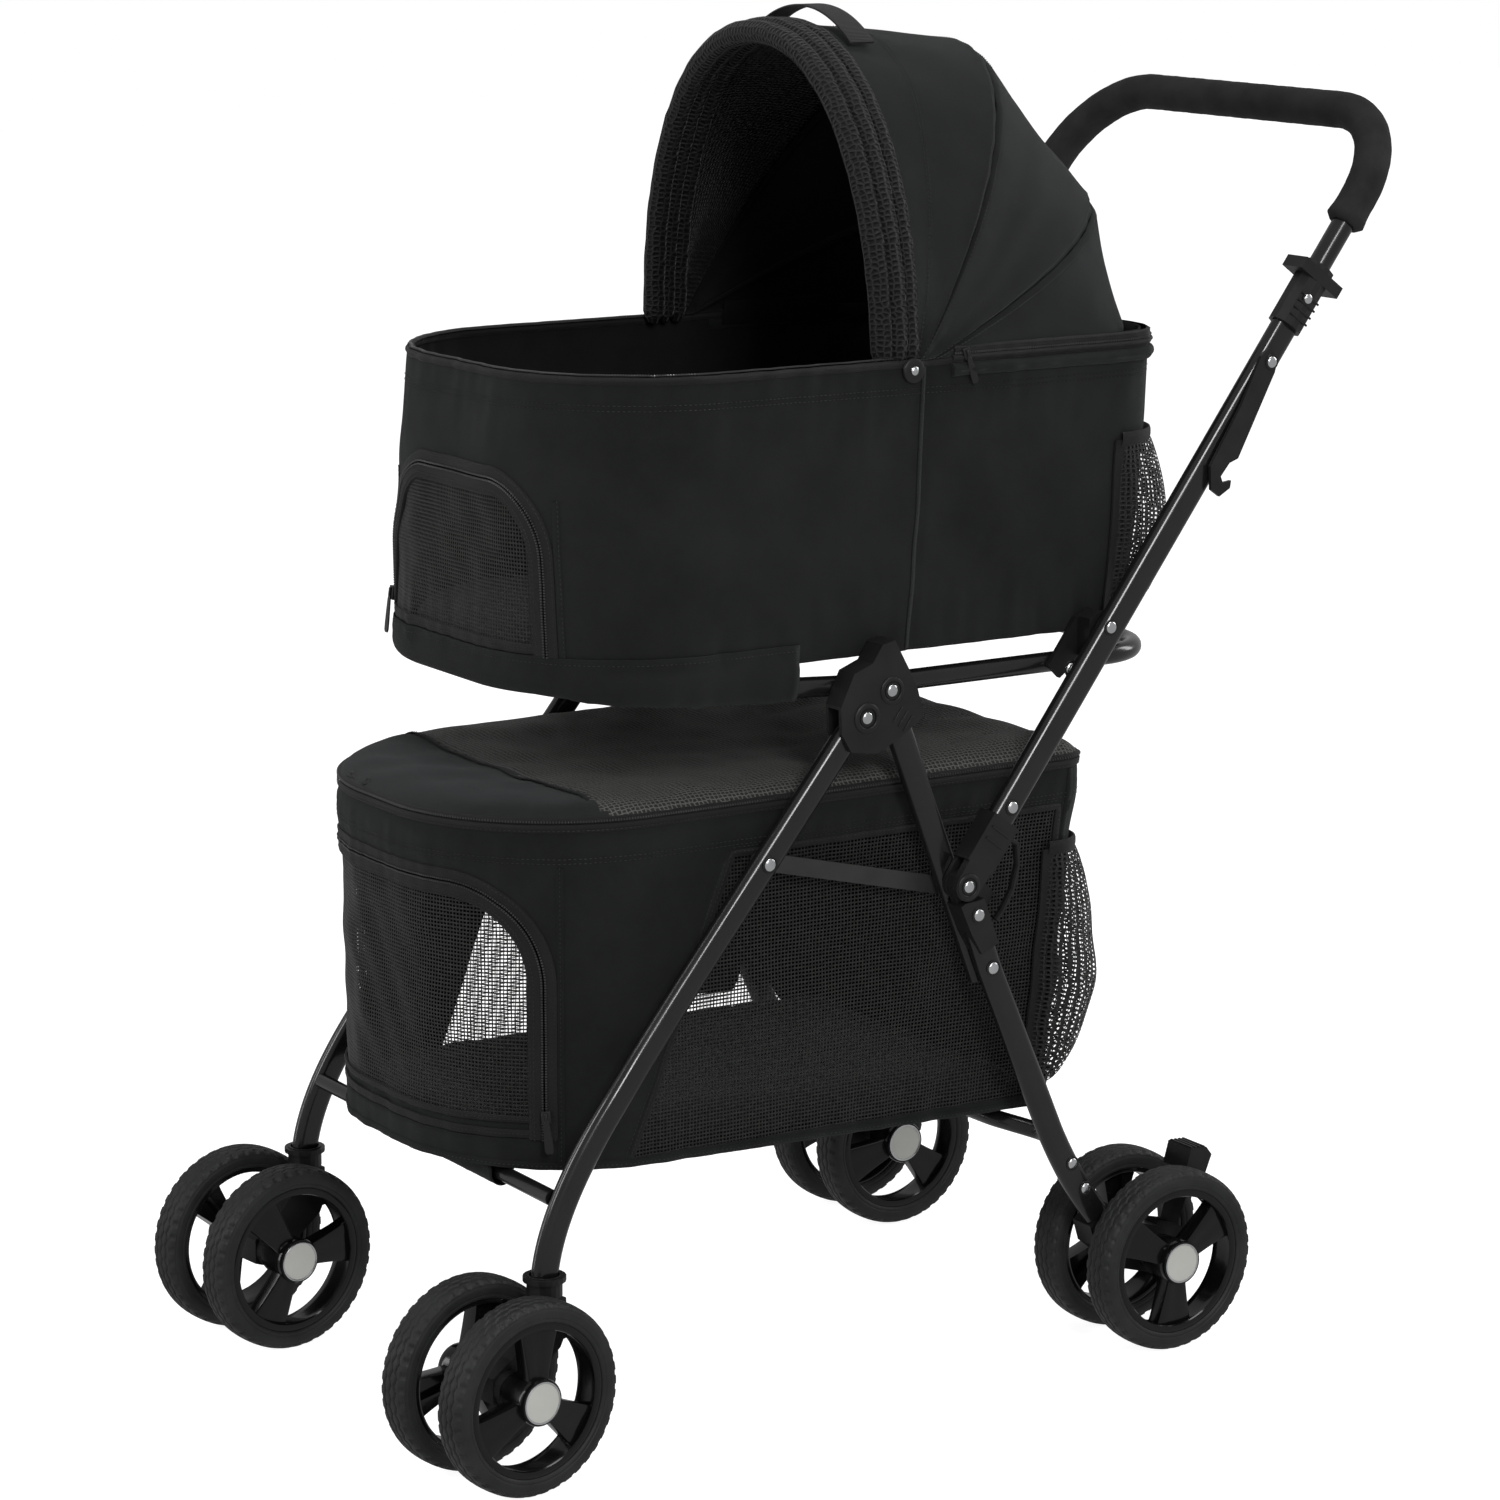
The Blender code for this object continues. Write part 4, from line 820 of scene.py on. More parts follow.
# ---------------------------------------------------------------- wheels
def tyre_mesh():
    """Solid tyre with three wavy grooves, shoulder slots and moulded lines."""
    base = np.array([(-0.0128, 0.0597), (-0.0139, 0.0605), (-0.0146, 0.0622), (-0.0150, 0.0650), (-0.0149, 0.0680), (-0.0143, 0.0706), (-0.0131, 0.0727),
                     (-0.0112, 0.0739), (-0.0080, 0.0746), (-0.0040, 0.07495), (0.0, 0.0750), (0.0040, 0.07495), (0.0080, 0.0746), (0.0112, 0.0739),
                     (0.0131, 0.0727), (0.0143, 0.0706), (0.0149, 0.0680), (0.0150, 0.0650), (0.0146, 0.0622), (0.0139, 0.0605), (0.0128, 0.0597)])
    prof = resample(catmull(base, 6), 0.00082)
    n = 336
    th = 2 * pi * np.arange(n) / n
    x = prof[:, 0][None] + 0 * th[:, None]
    r = prof[:, 1][None] + 0 * th[:, None]
    T = th[:, None] + 0 * x
    tread = (np.abs(x) < 0.0118) & (r > 0.0735)
    dep = np.zeros_like(x)
    for x0, ph in ((-0.0058, 0.0), (0.0, pi), (0.0058, 0.0)):
        wob = x0 + 0.00095 * np.sin(T * 42 + ph)
        dep = np.maximum(dep, 0.0013 * np.exp(-((x - wob) / 0.00075) ** 4))
    slot = (np.mod(T * 42 / (2 * pi), 1.0) < 0.26)
    side = (np.abs(x) > 0.0098) & (np.abs(x) < 0.0140) & (r > 0.0712)
    dep = np.where(side & slot, np.maximum(dep, 0.0012), dep)
    # moulded lines on the sidewalls
    dep = np.maximum(dep, 0.0006 * np.exp(-((r - 0.0632) / 0.0005) ** 2) * (np.abs(x) > 0.0135))
    dep = np.maximum(dep, 0.0005 * np.exp(-((r - 0.0700) / 0.0004) ** 2) * (np.abs(x) > 0.0135))
    # surface normal in the profile plane
    t = np.gradient(prof, axis=0)
    nn = np.stack([-t[:, 1], t[:, 0]], -1)
    nn /= np.linalg.norm(nn, axis=1)[:, None]
    if nn[len(nn) // 2, 1] < 0:
        nn = -nn
    x = x - nn[:, 0][None] * dep
    r = r - nn[:, 1][None] * dep
    V = np.stack([x, r * np.cos(T), r * np.sin(T)], -1)
    m = prof.shape[0]
    F_ = gridF(n, m, cu=True, flip=False).tolist()
    # inner bore, closed against the rim
    inner = np.stack([np.stack([0 * th - 0.0128, 0.0596 * np.cos(th), 0.0596 * np.sin(th)], -1), np.stack([0 * th + 0.0128, 0.0596 * np.cos(th), 0.0596 * np.sin(th)], -1)], 1)
    F2 = gridF(n, 2, cu=True, flip=True) + n * m
    return np.vstack([V.reshape(-1, 3), inner.reshape(-1, 3)]), F_ + F2.tolist()


def rim_soup():
    """Three-spoke wheel: deep barrel with lips, turned hub, fan-shaped spokes with side ribs, hub cap."""
    s = Soup()
    barrel = [(-0.0126, 0.0594), (-0.0130, 0.0574), (-0.0124, 0.0560), (-0.0104, 0.0552), (-0.0040, 0.0546), (0.0060, 0.0544), (0.0098, 0.0540), (0.0118, 0.0537),
              (0.0128, 0.0543), (0.0131, 0.0560), (0.0131, 0.0590), (0.0128, 0.0596)]
    s.add(turned(barrel, (0, 0, 0), (1, 0, 0), 112))
    hub = [(-0.0138, 0.0048), (-0.0138, 0.0150), (-0.0130, 0.0163), (-0.0020, 0.0172), (0.0120, 0.0180), (0.0168, 0.0182), (0.0182, 0.0176), (0.0184, 0.0168), (0.0176, 0.0164), (0.0172, 0.0150)]
    s.add(turned(hub, (0, 0, 0), (1, 0, 0), 64, cap1=True))
    for k in range(3):
        a = pi / 2 + 2 * pi * k / 3
        u, w = np.array([0, cos(a), sin(a)]), np.array([0, -sin(a), cos(a)])
        secs = []
        for f in np.linspace(0, 1, 9):
            r = 0.0140 + (0.0545 - 0.0140) * f
            hw = 0.0088 + (0.0172 - 0.0088) * (f ** 1.15) + 0.0020 * max(0, f - 0.85) / 0.15 * 0.6
            xf = 0.0128 - 0.0036 * f
            xb = -0.0030 - 0.0010 * f
            rows = [(xb, -hw + 0.0012), (xf - 0.0022, -hw), (xf - 0.0006, -hw + 0.0005), (xf, -hw + 0.0022), (xf - 0.0007, -hw * 0.30), (xf - 0.0007, hw * 0.30), (xf, hw - 0.0022),
                    (xf - 0.0006, hw - 0.0005), (xf - 0.0022, hw), (xb, hw - 0.0012)]
            secs.append([np.array([xx, 0, 0]) + u * r + w * ww for xx, ww in rows])
        S = np.array(secs)
        s.add((S.reshape(-1, 3), gridF(9, 10, cv=True).tolist()))
        # rib behind the spoke
        s.add(boxVF(np.array([-0.0060, 0, 0]) + u * 0.035, (0.0036, 0, 0), u * 0.019, w * 0.0012))
    # cap: silver ring round a pale domed disc
    s.add(turned([(0.0168, 0.0166), (0.0186, 0.0163), (0.0189, 0.0157), (0.0186, 0.0150), (0.0170, 0.0149)], (0, 0, 0), (1, 0, 0), 64), 1)
    s.add(turned([(0.0170, 0.0152), (0.0184, 0.0149)] + [(0.0184 + 0.0006 * (1 - (q / 0.0145) ** 2), q) for q in np.linspace(0.0145, 0.0006, 8)], (0, 0, 0), (1, 0, 0), 64, cap1=True), 2)
    return s


TV, TF = tyre_mesh()
tyre0 = fix_normals(make("tyre_shape", TV, TF, M_TYRE, None, uv=TV[:, [1, 2, 0]], sharp=55))
tyre_me = tyre0.data
tyre_me.transform(Matrix.Translation((-OX, -OY, 0)))
bpy.data.objects.remove(tyre0, do_unlink=True)
rim0 = fix_normals(rim_soup().make("rim_shape", [M_GLOSS, M_STEEL, M_CAP], None, 34))
rim_me = rim0.data
rim_me.transform(Matrix.Translation((-OX, -OY, 0)))
bpy.data.objects.remove(rim0, do_unlink=True)
PHASE = {"fr_a": -5, "fr_b": 20, "fl_a": 34, "fl_b": -40, "rr_a": 60, "rr_b": 0, "rl_a": -12, "rl_b": 25}
for unit, cen, rz in (("fr", (CASTER_X, 0), TURN), ("fl", (-CASTER_X, 0), TURN), ("rr", (REAR_X, REAR_Y), 0.0), ("rl", (-REAR_X, REAR_Y), 0.0)):
    trail = TRAIL if unit[0] == "f" else 0.0
    M0 = Matrix.Translation((cen[0] + OX, cen[1] + OY, 0)) @ Matrix.Rotation(rz, 4, "Z")
    for side, s in (("a", 1), ("b", -1)):
        tag = unit + "_" + side
        Mw = M0 @ Matrix.Translation((s * WHEEL_OFF, -trail, WHEEL_R)) @ Matrix.Rotation(0 if s > 0 else pi, 4, "Z") @ Matrix.Rotation(radians(PHASE[tag]), 4, "X")
        for what, me, slot_ in (("tyre", tyre_me, "tyre"), ("rim", rim_me, "wheel_plastic")):
            o = bpy.data.objects.new(what + "_fine_" + tag, me)
            COL.objects.link(o)
            o.matrix_world = Mw
            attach(o, "wheel_" + tag)
            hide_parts(what + "_" + tag)
    # axle: bright steel with a clip either side of the hub
    sa = Soup()
    for s in (1, -1):
        sa.add(turned([(0.0185, 0.0043), (0.0190, 0.0052), (0.0212, 0.0052), (0.0216, 0.0044)], (0, 0, 0), (s, 0, 0), 24))
    o = sa.make("axle_washers_" + unit, [M_STEEL], None, 40, "link_steel")
    o.data.transform(Matrix.Translation((-OX, -OY, 0)))
    o.matrix_world = M0 @ Matrix.Translation((0, -trail, WHEEL_R))
    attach(o, {"fr": "caster_r", "fl": "caster_l"}.get(unit, "rear_frame"))


# ================================================================ carriers: cloth on a plan
def plan(u, prm, off=0.0):
    """Points at arc length u from the front middle of a rounded plan, pushed out by off."""
    hx, y0, y1, rf, rr = prm
    u = np.asarray(u, float)
    off = np.asarray(off, float) + 0 * u
    s = np.where(u >= 0, 1.0, -1.0)
    a = np.abs(u)
    l1, l2 = hx - rf, pi / 2 * rf
    l3, l4 = (y1 - y0) - rf - rr, pi / 2 * rr
    b1, b2, b3, b4 = l1, l1 + l2, l1 + l2 + l3, l1 + l2 + l3 + l4
    a1 = -pi / 2 + (a - b1) / rf
    a2 = (a - b3) / rr
    x = np.select([a <= b1, a <= b2, a <= b3, a <= b4], [a, hx - rf + (rf + off) * np.cos(a1), hx + off, hx - rr + (rr + off) * np.cos(a2)], hx - rr - (a - b4))
    y = np.select([a <= b1, a <= b2, a <= b3, a <= b4], [y0 - off, y0 + rf + (rf + off) * np.sin(a1), y0 + rf + (a - b2), y1 - rr + (rr + off) * np.sin(a2)], y1 + off)
    return s * x, y


def plan_len(prm):
    hx, y0, y1, rf, rr = prm
    return (hx - rf) + pi / 2 * rf + (y1 - y0 - rf - rr) + pi / 2 * rr + (hx - rr)


def u_of_y(prm, y):
    """Arc length of the wall at that y, on the front corner or the side."""
    hx, y0, y1, rf, rr = prm
    if y < y0 + rf:
        return (hx - rf) + rf * (pi / 2 + np.arcsin(max(-1.0, (y - y0 - rf) / rf)))
    return (hx - rf) + pi / 2 * rf + (y - y0 - rf)


def lean(z):
    """The upper walls lean back towards the rim."""
    return 0.0140 * (z - 0.5888) / 0.2232


LU, LL = plan_len(UP), plan_len(LO)


def off_up(u, z):
    """How far the upper carrier's cloth stands off its plan."""
    t = np.clip((z - UB) / (UT - UB), 0, 1)
    b = 0.0030 * np.sin(pi * t) ** 0.8
    b = b + 0.0011 * noise2(u, z * 1.2, 11, 0.110) * np.sin(pi * np.clip(t, 0, 1))
    # puckers that hang from the rim and rise from the hem
    b = b + 0.0009 * noise2(u, z * 0.25, 12, 0.030) * np.exp(-((1 - t) / 0.22) ** 2) + 0.0010 * noise2(u, z * 0.3, 13, 0.028) * np.exp(-(t / 0.20) ** 2)
    # long diagonal drags
    b = b + 0.0008 * noise2(u + z * 0.8, z * 0.5 - u * 0.15, 14, 0.070) * np.sin(pi * t)
    # the side seam pulls in
    us = np.abs(u) - u_of_y(UP, 0.341)
    b = b - 0.0013 * np.exp(-(us / 0.0030) ** 2)
    return b


def taper(u, z):
    """The front door's sides lean in towards its top."""
    t = np.clip((z - 0.600) / 0.135, 0, 1) * (1 - smooth01((z - 0.740) / 0.050))
    left = np.clip(-u / 0.100, 0, 1) * np.clip((0.250 + u) / 0.120, 0, 1)
    right = np.clip(u / 0.110, 0, 1) * np.clip((0.240 - u) / 0.110, 0, 1)
    return u + 0.036 * t * smooth01(left) - 0.013 * t * smooth01(right)


def M_up(u, z, off=0.0):
    u = taper(np.asarray(u, float) + 0 * np.asarray(z, float), np.asarray(z, float) + 0 * np.asarray(u, float))
    x, y = plan(u, UP, off_up(u, z) + off)
    return np.stack([x, y + lean(z) + 0.0050 * np.clip((z - UB) / (UT - UB), 0, 1) ** 2 * smooth01((y - 0.50) / 0.07), z + 0 * u], -1)


def off_lo(u, z):
    x, y = plan(u, LO)
    zb = lb(y)
    t = np.clip((z - zb) / (LT - zb), 0, 1)
    b = 0.0022 * np.sin(pi * t) ** 0.8
    b = b + 0.0035 * np.exp(-((z - 0.462) / 0.020) ** 2)                # the padded top band
    b = b + 0.0012 * noise2(u, z * 1.1, 21, 0.100) * np.sin(pi * t)
    b = b + 0.0011 * noise2(u, z * 0.25, 22, 0.026) * np.exp(-((0.452 - z) / 0.030) ** 2) * (z < 0.47)
    b = b + 0.0009 * noise2(u, z * 0.3, 23, 0.026) * np.exp(-(t / 0.16) ** 2)
    b = b + 0.0009 * noise2(u + z * 0.7, z * 0.5 - u * 0.2, 24, 0.065) * np.sin(pi * t)
    return b


def flare(y, z):
    """The lower walls lean out towards their rear top edge."""
    return 0.0300 * np.clip((z - 0.200) / 0.286, 0, 1) * np.clip((y - 0.200) / 0.290, 0, 1)


def M_lo(u, z, off=0.0):
    x, y = plan(u, LO, off_lo(u, z) + off)
    return np.stack([x, y + flare(y, z), z + 0 * u], -1)


def stations(breaks, step):
    """Values through all the breaks, about step apart."""
    out = []
    for a, b in zip(breaks[:-1], breaks[1:]):
        n = max(1, int(round((b - a) / step)))
        out += list(a + (b - a) * np.arange(n) / n)
    out.append(breaks[-1])
    return np.array(out)


def arch_snap(U, Z, door, cell):
    """Moves grid points near a door's arched corners on to the arch."""
    u0, u1, z0, z1, r = door
    for cu, sg in ((u0 + r, -1), (u1 - r, 1)):
        du, dz = U - cu, Z - (z1 - r)
        rho = np.hypot(du, dz)
        q = (du * sg > 0.0) & (dz > 0.0) & (np.abs(rho - r) < cell * 0.62)
        k = np.where(q, r / np.maximum(rho, 1e-9), 1.0)
        U, Z = np.where(q, cu + du * k, U), np.where(q, (z1 - r) + dz * k, Z)
    return U, Z


def in_door(u, z, door, grow=0.0):
    u0, u1, z0, z1, r = door
    q = (u > u0 - grow) & (u < u1 + grow) & (z > z0 - 1e-9) & (z < z1 + grow)
    for cu, sg in ((u0 + r, -1), (u1 - r, 1)):
        du, dz = (u - cu) * sg, z - (z1 - r)
        q &= ~((du > 0) & (dz > 0) & (np.hypot(du, dz) > r + grow))
    return q


def door_outline(door, step=0.003, inset=0.0):
    """Up the left side, over the arch and down the right side, in (u, z)."""
    u0, u1, z0, z1, r = door
    u0, u1, z1 = u0 + inset, u1 - inset, z1 - inset
    r = r - inset
    pts = [(u0, z0), (u0, z1 - r)] + [(u0 + r - r * cos(t), z1 - r + r * sin(t)) for t in np.linspace(0, pi / 2, 24)[1:]]
    pts += [(u1 - r + r * sin(t), z1 - r + r * cos(t)) for t in np.linspace(0, pi / 2, 24)] + [(u1, z0)]
    return resample(np.array(pts), step)


def frame2(path):
    t = np.gradient(path, axis=0)
    t /= np.linalg.norm(t, axis=1)[:, None]
    return t, np.stack([t[:, 1], -t[:, 0]], -1)      # left of travel is -lat


def strip(M, path, prof, closed=False):
    """Band that follows a path on the cloth; profile is (distance to the right of travel, height off the cloth)."""
    path = np.asarray(path, float)
    if closed:
        t = np.roll(path, -1, 0) - np.roll(path, 1, 0)
        t[0], t[-1] = t[1], t[-2]
        t /= np.linalg.norm(t, axis=1)[:, None]
        lat = np.stack([t[:, 1], -t[:, 0]], -1)
    else:
        t, lat = frame2(path)
    prof = np.asarray(prof, float)
    U = path[:, None, 0] + lat[:, None, 0] * prof[None, :, 0]
    Z = path[:, None, 1] + lat[:, None, 1] * prof[None, :, 0]
    V = M(U, Z, prof[None, :, 1] + 0 * U)
    d = np.r_[0, np.cumsum(np.linalg.norm(np.diff(path, axis=0), axis=1))]
    uv = np.stack([d[:, None] + 0 * U, prof[None, :, 0] + 0 * U], -1)
    return V.reshape(-1, 3), gridF(len(path), len(prof), cu=closed).tolist(), uv.reshape(-1, 2)


def frames3(M, path, lat_off=0.0, off=0.0):
    t, lat = frame2(path)
    q = path + lat * lat_off
    e = 0.0008
    C0 = M(q[:, 0], q[:, 1], off + 0 * q[:, 0])
    N0 = M(q[:, 0], q[:, 1], off + 0.002 + 0 * q[:, 0]) - C0
    T0 = M(q[:, 0] + t[:, 0] * e, q[:, 1] + t[:, 1] * e, off + 0 * q[:, 0]) - C0
    return C0, T0, N0


def add_strip(soup, M, path, prof, mat=0, closed=False):
    V, F_, uv = strip(M, path, prof, closed)
    soup.add((V, F_), mat, uv)


def add_stitches(soup, M, path, pitch=0.0036, lat=0.0, off=0.0002, mat=0, l=None, w=0.0007, h=0.00045):
    p = resample(path, pitch)
    C0, T0, N0 = frames3(M, p, lat, off)
    soup.add(lozenges(C0, T0, N0, l or pitch * 0.72, w, h), mat)


def add_teeth(soup, M, path, lat, off, mat=0, pitch=0.0021):
    p = resample(path, pitch)
    C0, T0, N0 = frames3(M, p, lat, off)
    soup.add(boxes(C0, T0, N0, pitch * 0.62, 0.0017, 0.0011), mat)




def zip_side(M, path, side, body, name, width=0.0095, mats=None):
    """One half of a zip along a path: woven tape with a stitched edge and its row of teeth. side is -1 for the left of travel."""
    s = Soup()
    w = width
    prof = [(side * 0.0006, 0.0003), (side * 0.0007, 0.0013), (side * 0.0024, 0.0015), (side * w * 0.5, 0.0013), (side * (w - 0.0016), 0.0014), (side * (w - 0.0004), 0.0012), (side * w, 0.0002)]
    if side < 0:
        prof = prof[::-1]
    add_strip(s, M, path, prof, 0)
    if side < 0:
        # a strip behind the coil keeps the light out
        add_strip(s, M, path, [(-0.0060, -0.0022), (0.0, -0.0030), (0.0075, -0.0034), (0.0075, -0.0042), (-0.0060, -0.0036)], 0)
    add_teeth(s, M, path, side * 0.0011, 0.0012, 1)
    add_stitches(s, M, path, 0.0034, side * (w - 0.0022), 0.0014, 2)
    return s.make(name, [M_TAPE, M_TOOTH_PAINTED_GLINT, M_THREAD], body, 50, "carrier_fabric")


def puller(name, c, d, n, body, scale=1.0):
    """Zip slider with a stirrup and a tab, hanging along d, on a surface facing n."""
    c, d, n = (np.asarray(v, float) for v in (c, d, n))
    d /= np.linalg.norm(d)
    n = n - d * (n * d).sum()
    n /= np.linalg.norm(n)
    b = np.cross(d, n)
    k = scale
    s = Soup()
    s.add(boxVF(c + n * 0.0022 * k, d * 0.0048 * k, b * 0.0036 * k, n * 0.0016 * k))
    s.add(boxVF(c + n * 0.0044 * k - d * 0.0005 * k, d * 0.0030 * k, b * 0.0011 * k, n * 0.0009 * k))
    top = c + n * 0.0044 * k + d * 0.0022 * k
    tab = [(0.0, 0.0016), (0.003, 0.0024), (0.008, 0.0028), (0.018, 0.0034), (0.0235, 0.0034), (0.0255, 0.0022)]
    L_, R_ = [], []
    for side, arr in ((0.0006, L_), (-0.0006, R_)):
        for t, w in tab:
            arr.append(top + d * t * k + b * w * k + n * (side - 0.0008 * (t / 0.0255)) * k)
        for t, w in reversed(tab):
            arr.append(top + d * t * k - b * w * k + n * (side - 0.0008 * (t / 0.0255)) * k)
    m = len(L_)
    V = np.array(L_ + R_)
    F_ = [list(range(m)), list(reversed(range(m, 2 * m)))] + [[i, i + m, (i + 1) % m + m, (i + 1) % m] for i in range(m)]
    s.add((V, F_))
    o = fix_normals(s.make(name, [M_PLAS], None, 40, "black_plastic"))
    bevel(o, 0.0005 * k, 2, 30)
    apply_mods(o)
    if body:
        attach(o, body)
    return o


def cloth_shell(name, M, prm, Lh, breaks, zrows, zfun, door, windows, body, thick, step):
    """Wall of a carrier with its door cut out and its window cells left to a mesh piece."""
    us = stations(breaks, step)[:-1]                    # closed loop
    m, n = len(us), len(zrows)
    U = np.repeat(us[:, None], n, 1)
    Hh = np.repeat(zrows[None], m, 0)
    U, Z = zfun(U, Hh)
    U, Z = arch_snap(U, Z, door, step)
    V = M(U, Z)
    F_ = gridF(m, n, cu=True)
    # centre of each face in (u, h)
    i, j = F_[:, 0] // n, F_[:, 0] % n
    i2 = (i + 1) % m
    uc = (us[i] + np.where(i2 == 0, 2 * Lh + us[0], us[i2])) / 2
    uc = np.where(uc > Lh, uc - 2 * Lh, uc)
    hc = (zrows[j] + zrows[j + 1]) / 2
    gone = in_door(uc, hc, door)
    kind = np.zeros(len(F_), int)
    for k, wdw in enumerate(windows):
        kind[(uc > wdw[0]) & (uc < wdw[1]) & (hc > wdw[2]) & (hc < wdw[3]) & ~gone] = k + 1
    return us, U, Z, V, F_, gone, kind


# ---------------------------------------------------------------- upper carrier
hxU = UP[0]
rowsU = stations([UB + 0.0002, DU[2], DU[3], UT - 0.0005], 0.0042)
us, U, Z, V, F_, gone, kind = cloth_shell("u", M_up, UP, LU, [-LU, -u_of_y(UP, 0.341), DU[0], DU[1], u_of_y(UP, 0.341), LU], rowsU, lambda u, h: (u, h), DU, [], "ring", 0.0016, 0.0042)
m_, n_ = U.shape
keepF = F_[~gone]
# floor of the carrier, hidden under its cushion
rings_in = []
Vf = [V.reshape(-1, 3)]
idx0 = np.arange(m_) * n_
base = m_ * n_
floorF = []
prev = idx0
for d_ in (-0.004, -0.030, -0.070, -0.110):
    x, y = plan(us, UP, d_)
    Vf.append(np.stack([x, y, UB + 0.0012 + 0 * x + 0.0010 * noise2(x, y, 31, 0.12)], -1))
    cur = base + np.arange(m_)
    base += m_
    for k in range(m_):
        floorF.append([int(prev[k]), int(cur[k]), int(cur[(k + 1) % m_]), int(prev[(k + 1) % m_])])
    prev = cur
floorF.append([int(v) for v in prev[::-1]])
VV = np.vstack(Vf)
uvw = np.zeros((len(VV), 2))
uvw[: m_ * n_, 0], uvw[: m_ * n_, 1] = U.ravel(), Z.ravel()
uvw[m_ * n_:] = VV[m_ * n_:, :2]
wallF = keepF.tolist()
upper = make("upper_carrier_cloth", VV, wallF + floorF, [M_FAB, M_FABIN], None, uv=uvw, sharp=70)
fix_normals(upper)
md = upper.modifiers.new("t", "SOLIDIFY")
md.thickness, md.offset, md.material_offset, md.use_rim = 0.0016, -1.0, 1, True
apply_mods(upper)
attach(upper, "ring")
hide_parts("upper_carrier_shell")

# door zips: shell half on the carrier, door half on the door
pathU = door_outline(DU, 0.003)
zip_side(M_up, pathU, -1, "ring", "upper_door_zip_shell")
zip_side(M_up, door_outline(DU, 0.003, 0.0006), 1, "upper_door", "upper_door_zip_flap")


def door_piece(name, M, door, body, node_, mesh_mat, band, split=None):
    """Mesh door: netting in a bound frame, with a cloth band along its foot."""
    u0, u1, z0, z1, r = door
    ins = 0.0090
    inner = (u0 + ins, u1 - ins, z0, z1 - ins, r - ins)
    stp = 0.0035
    uu = stations([u0 + ins, u1 - ins], stp)
    zz = stations([z0, z0 + band, z1 - ins], stp)
    U = np.repeat(uu[:, None], len(zz), 1)
    Z = np.repeat(zz[None], len(uu), 0)
    U, Z = arch_snap(U, Z, inner, stp)
    F_ = gridF(len(uu), len(zz))
    i, j = F_[:, 0] // len(zz), F_[:, 0] % len(zz)
    uc, zc = (uu[i] + uu[i + 1]) / 2, (zz[j] + zz[j + 1]) / 2
    ok = in_door(uc, zc, inner)
    sag = -0.0012 - 0.0018 * np.sin(pi * np.clip((U - u0) / (u1 - u0), 0, 1)) * np.sin(pi * np.clip((Z - z0) / (z1 - z0), 0, 1)) + 0.0006 * noise2(U, Z, 41, 0.05)
    V = M(U, Z, sag)
    low_ = zc < z0 + band
    mi = np.where(low_, 1, 0)[ok]
    used = F_[ok]
    uv = np.stack([U.ravel(), Z.ravel()], -1)
    ids = np.unique(used)
    remap = -np.ones(U.size, int)
    remap[ids] = np.arange(len(ids))
    o = make(name + "_mesh", V.reshape(-1, 3)[ids], remap[used].tolist(), [mesh_mat, M_FAB], body, mi, uv[ids], 70)
    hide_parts(node_)
    s = Soup()
    # binding round the netting, under the zip tape
    add_strip(s, M, door_outline(door, 0.003, 0.0085), [(-0.0020, -0.0018), (-0.0020, 0.0006), (0.0010, 0.0009), (0.0034, 0.0007), (0.0040, -0.0002), (0.0040, -0.0020)], 0)
    add_stitches(s, M, door_outline(door, 0.003, 0.0085), 0.0034, 0.0022, 0.0008, 1)
    # cloth band's top edge and the hinge seam at the foot
    for zz0, w in ((z0 + band, 0.0022), (z0 + 0.0040, 0.0030)):
        p = np.array([(u, zz0) for u in stations([u0 + 0.004, u1 - 0.004], 0.004)])
        add_strip(s, M, p, [(-w, -0.0012), (-w, 0.0004), (0, 0.0010), (w, 0.0004), (w, -0.0012)], 0)
        add_stitches(s, M, p, 0.0034, 0.0, 0.0009, 1)
    s.make(name + "_binding", [M_TAPE, M_THREAD], body, 50, "carrier_fabric")
    return o


door_piece("upper_door", M_up, DU, "upper_door", "upper_front_door", M_MESH, 0.0060)
# puller at the foot of the far end, hanging loose
pc = M_up(np.array([DU[0]]), np.array([0.6180]), np.array([0.0012]))[0]
puller("upper_door_puller", pc, (0, -0.15, -1), (-0.15, -1, 0), "ring", 1.15)

# rim binding all round, zip along the open front rim
def loop_u(prm, Lh, step=0.005):
    return stations([-Lh, Lh], step)[:-1]


def rim_tube(name, M, Lh, z, secs, body, mats, u0=None, u1=None, uvs=True, seed=3, lump=0.0):
    """Roll of cloth along the wall; section points are (off, dz)."""
    uu = stations([-Lh if u0 is None else u0, Lh if u1 is None else u1], 0.005)
    closed = u0 is None
    if closed:
        uu = uu[:-1]
    sec = np.asarray(secs, float)
    k = 1.0 + lump * noise2(uu, 0 * uu, seed, 0.035)
    U = np.repeat(uu[:, None], len(sec), 1)
    O = sec[None, :, 0] * k[:, None]
    Dz = sec[None, :, 1] * k[:, None]
    z0 = z(U) if callable(z) else z + 0 * U
    V = M(U, z0, O)
    V = V + np.stack([0 * Dz, 0 * Dz, Dz], -1)
    F_ = gridF(len(uu), len(sec), cu=closed, cv=True).tolist()
    if not closed:
        F_ += [list(reversed(range(len(sec)))), list(range((len(uu) - 1) * len(sec), len(uu) * len(sec)))]
    d = np.cumsum(np.r_[0, np.linalg.norm(np.diff(sec, axis=0), axis=1)])
    uv = np.stack([U, d[None] + 0 * U], -1)
    o = make(name, V.reshape(-1, 3), F_, mats, None, uv=uv, sharp=60)
    fix_normals(o)
    if body:
        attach(o, body)
    return o


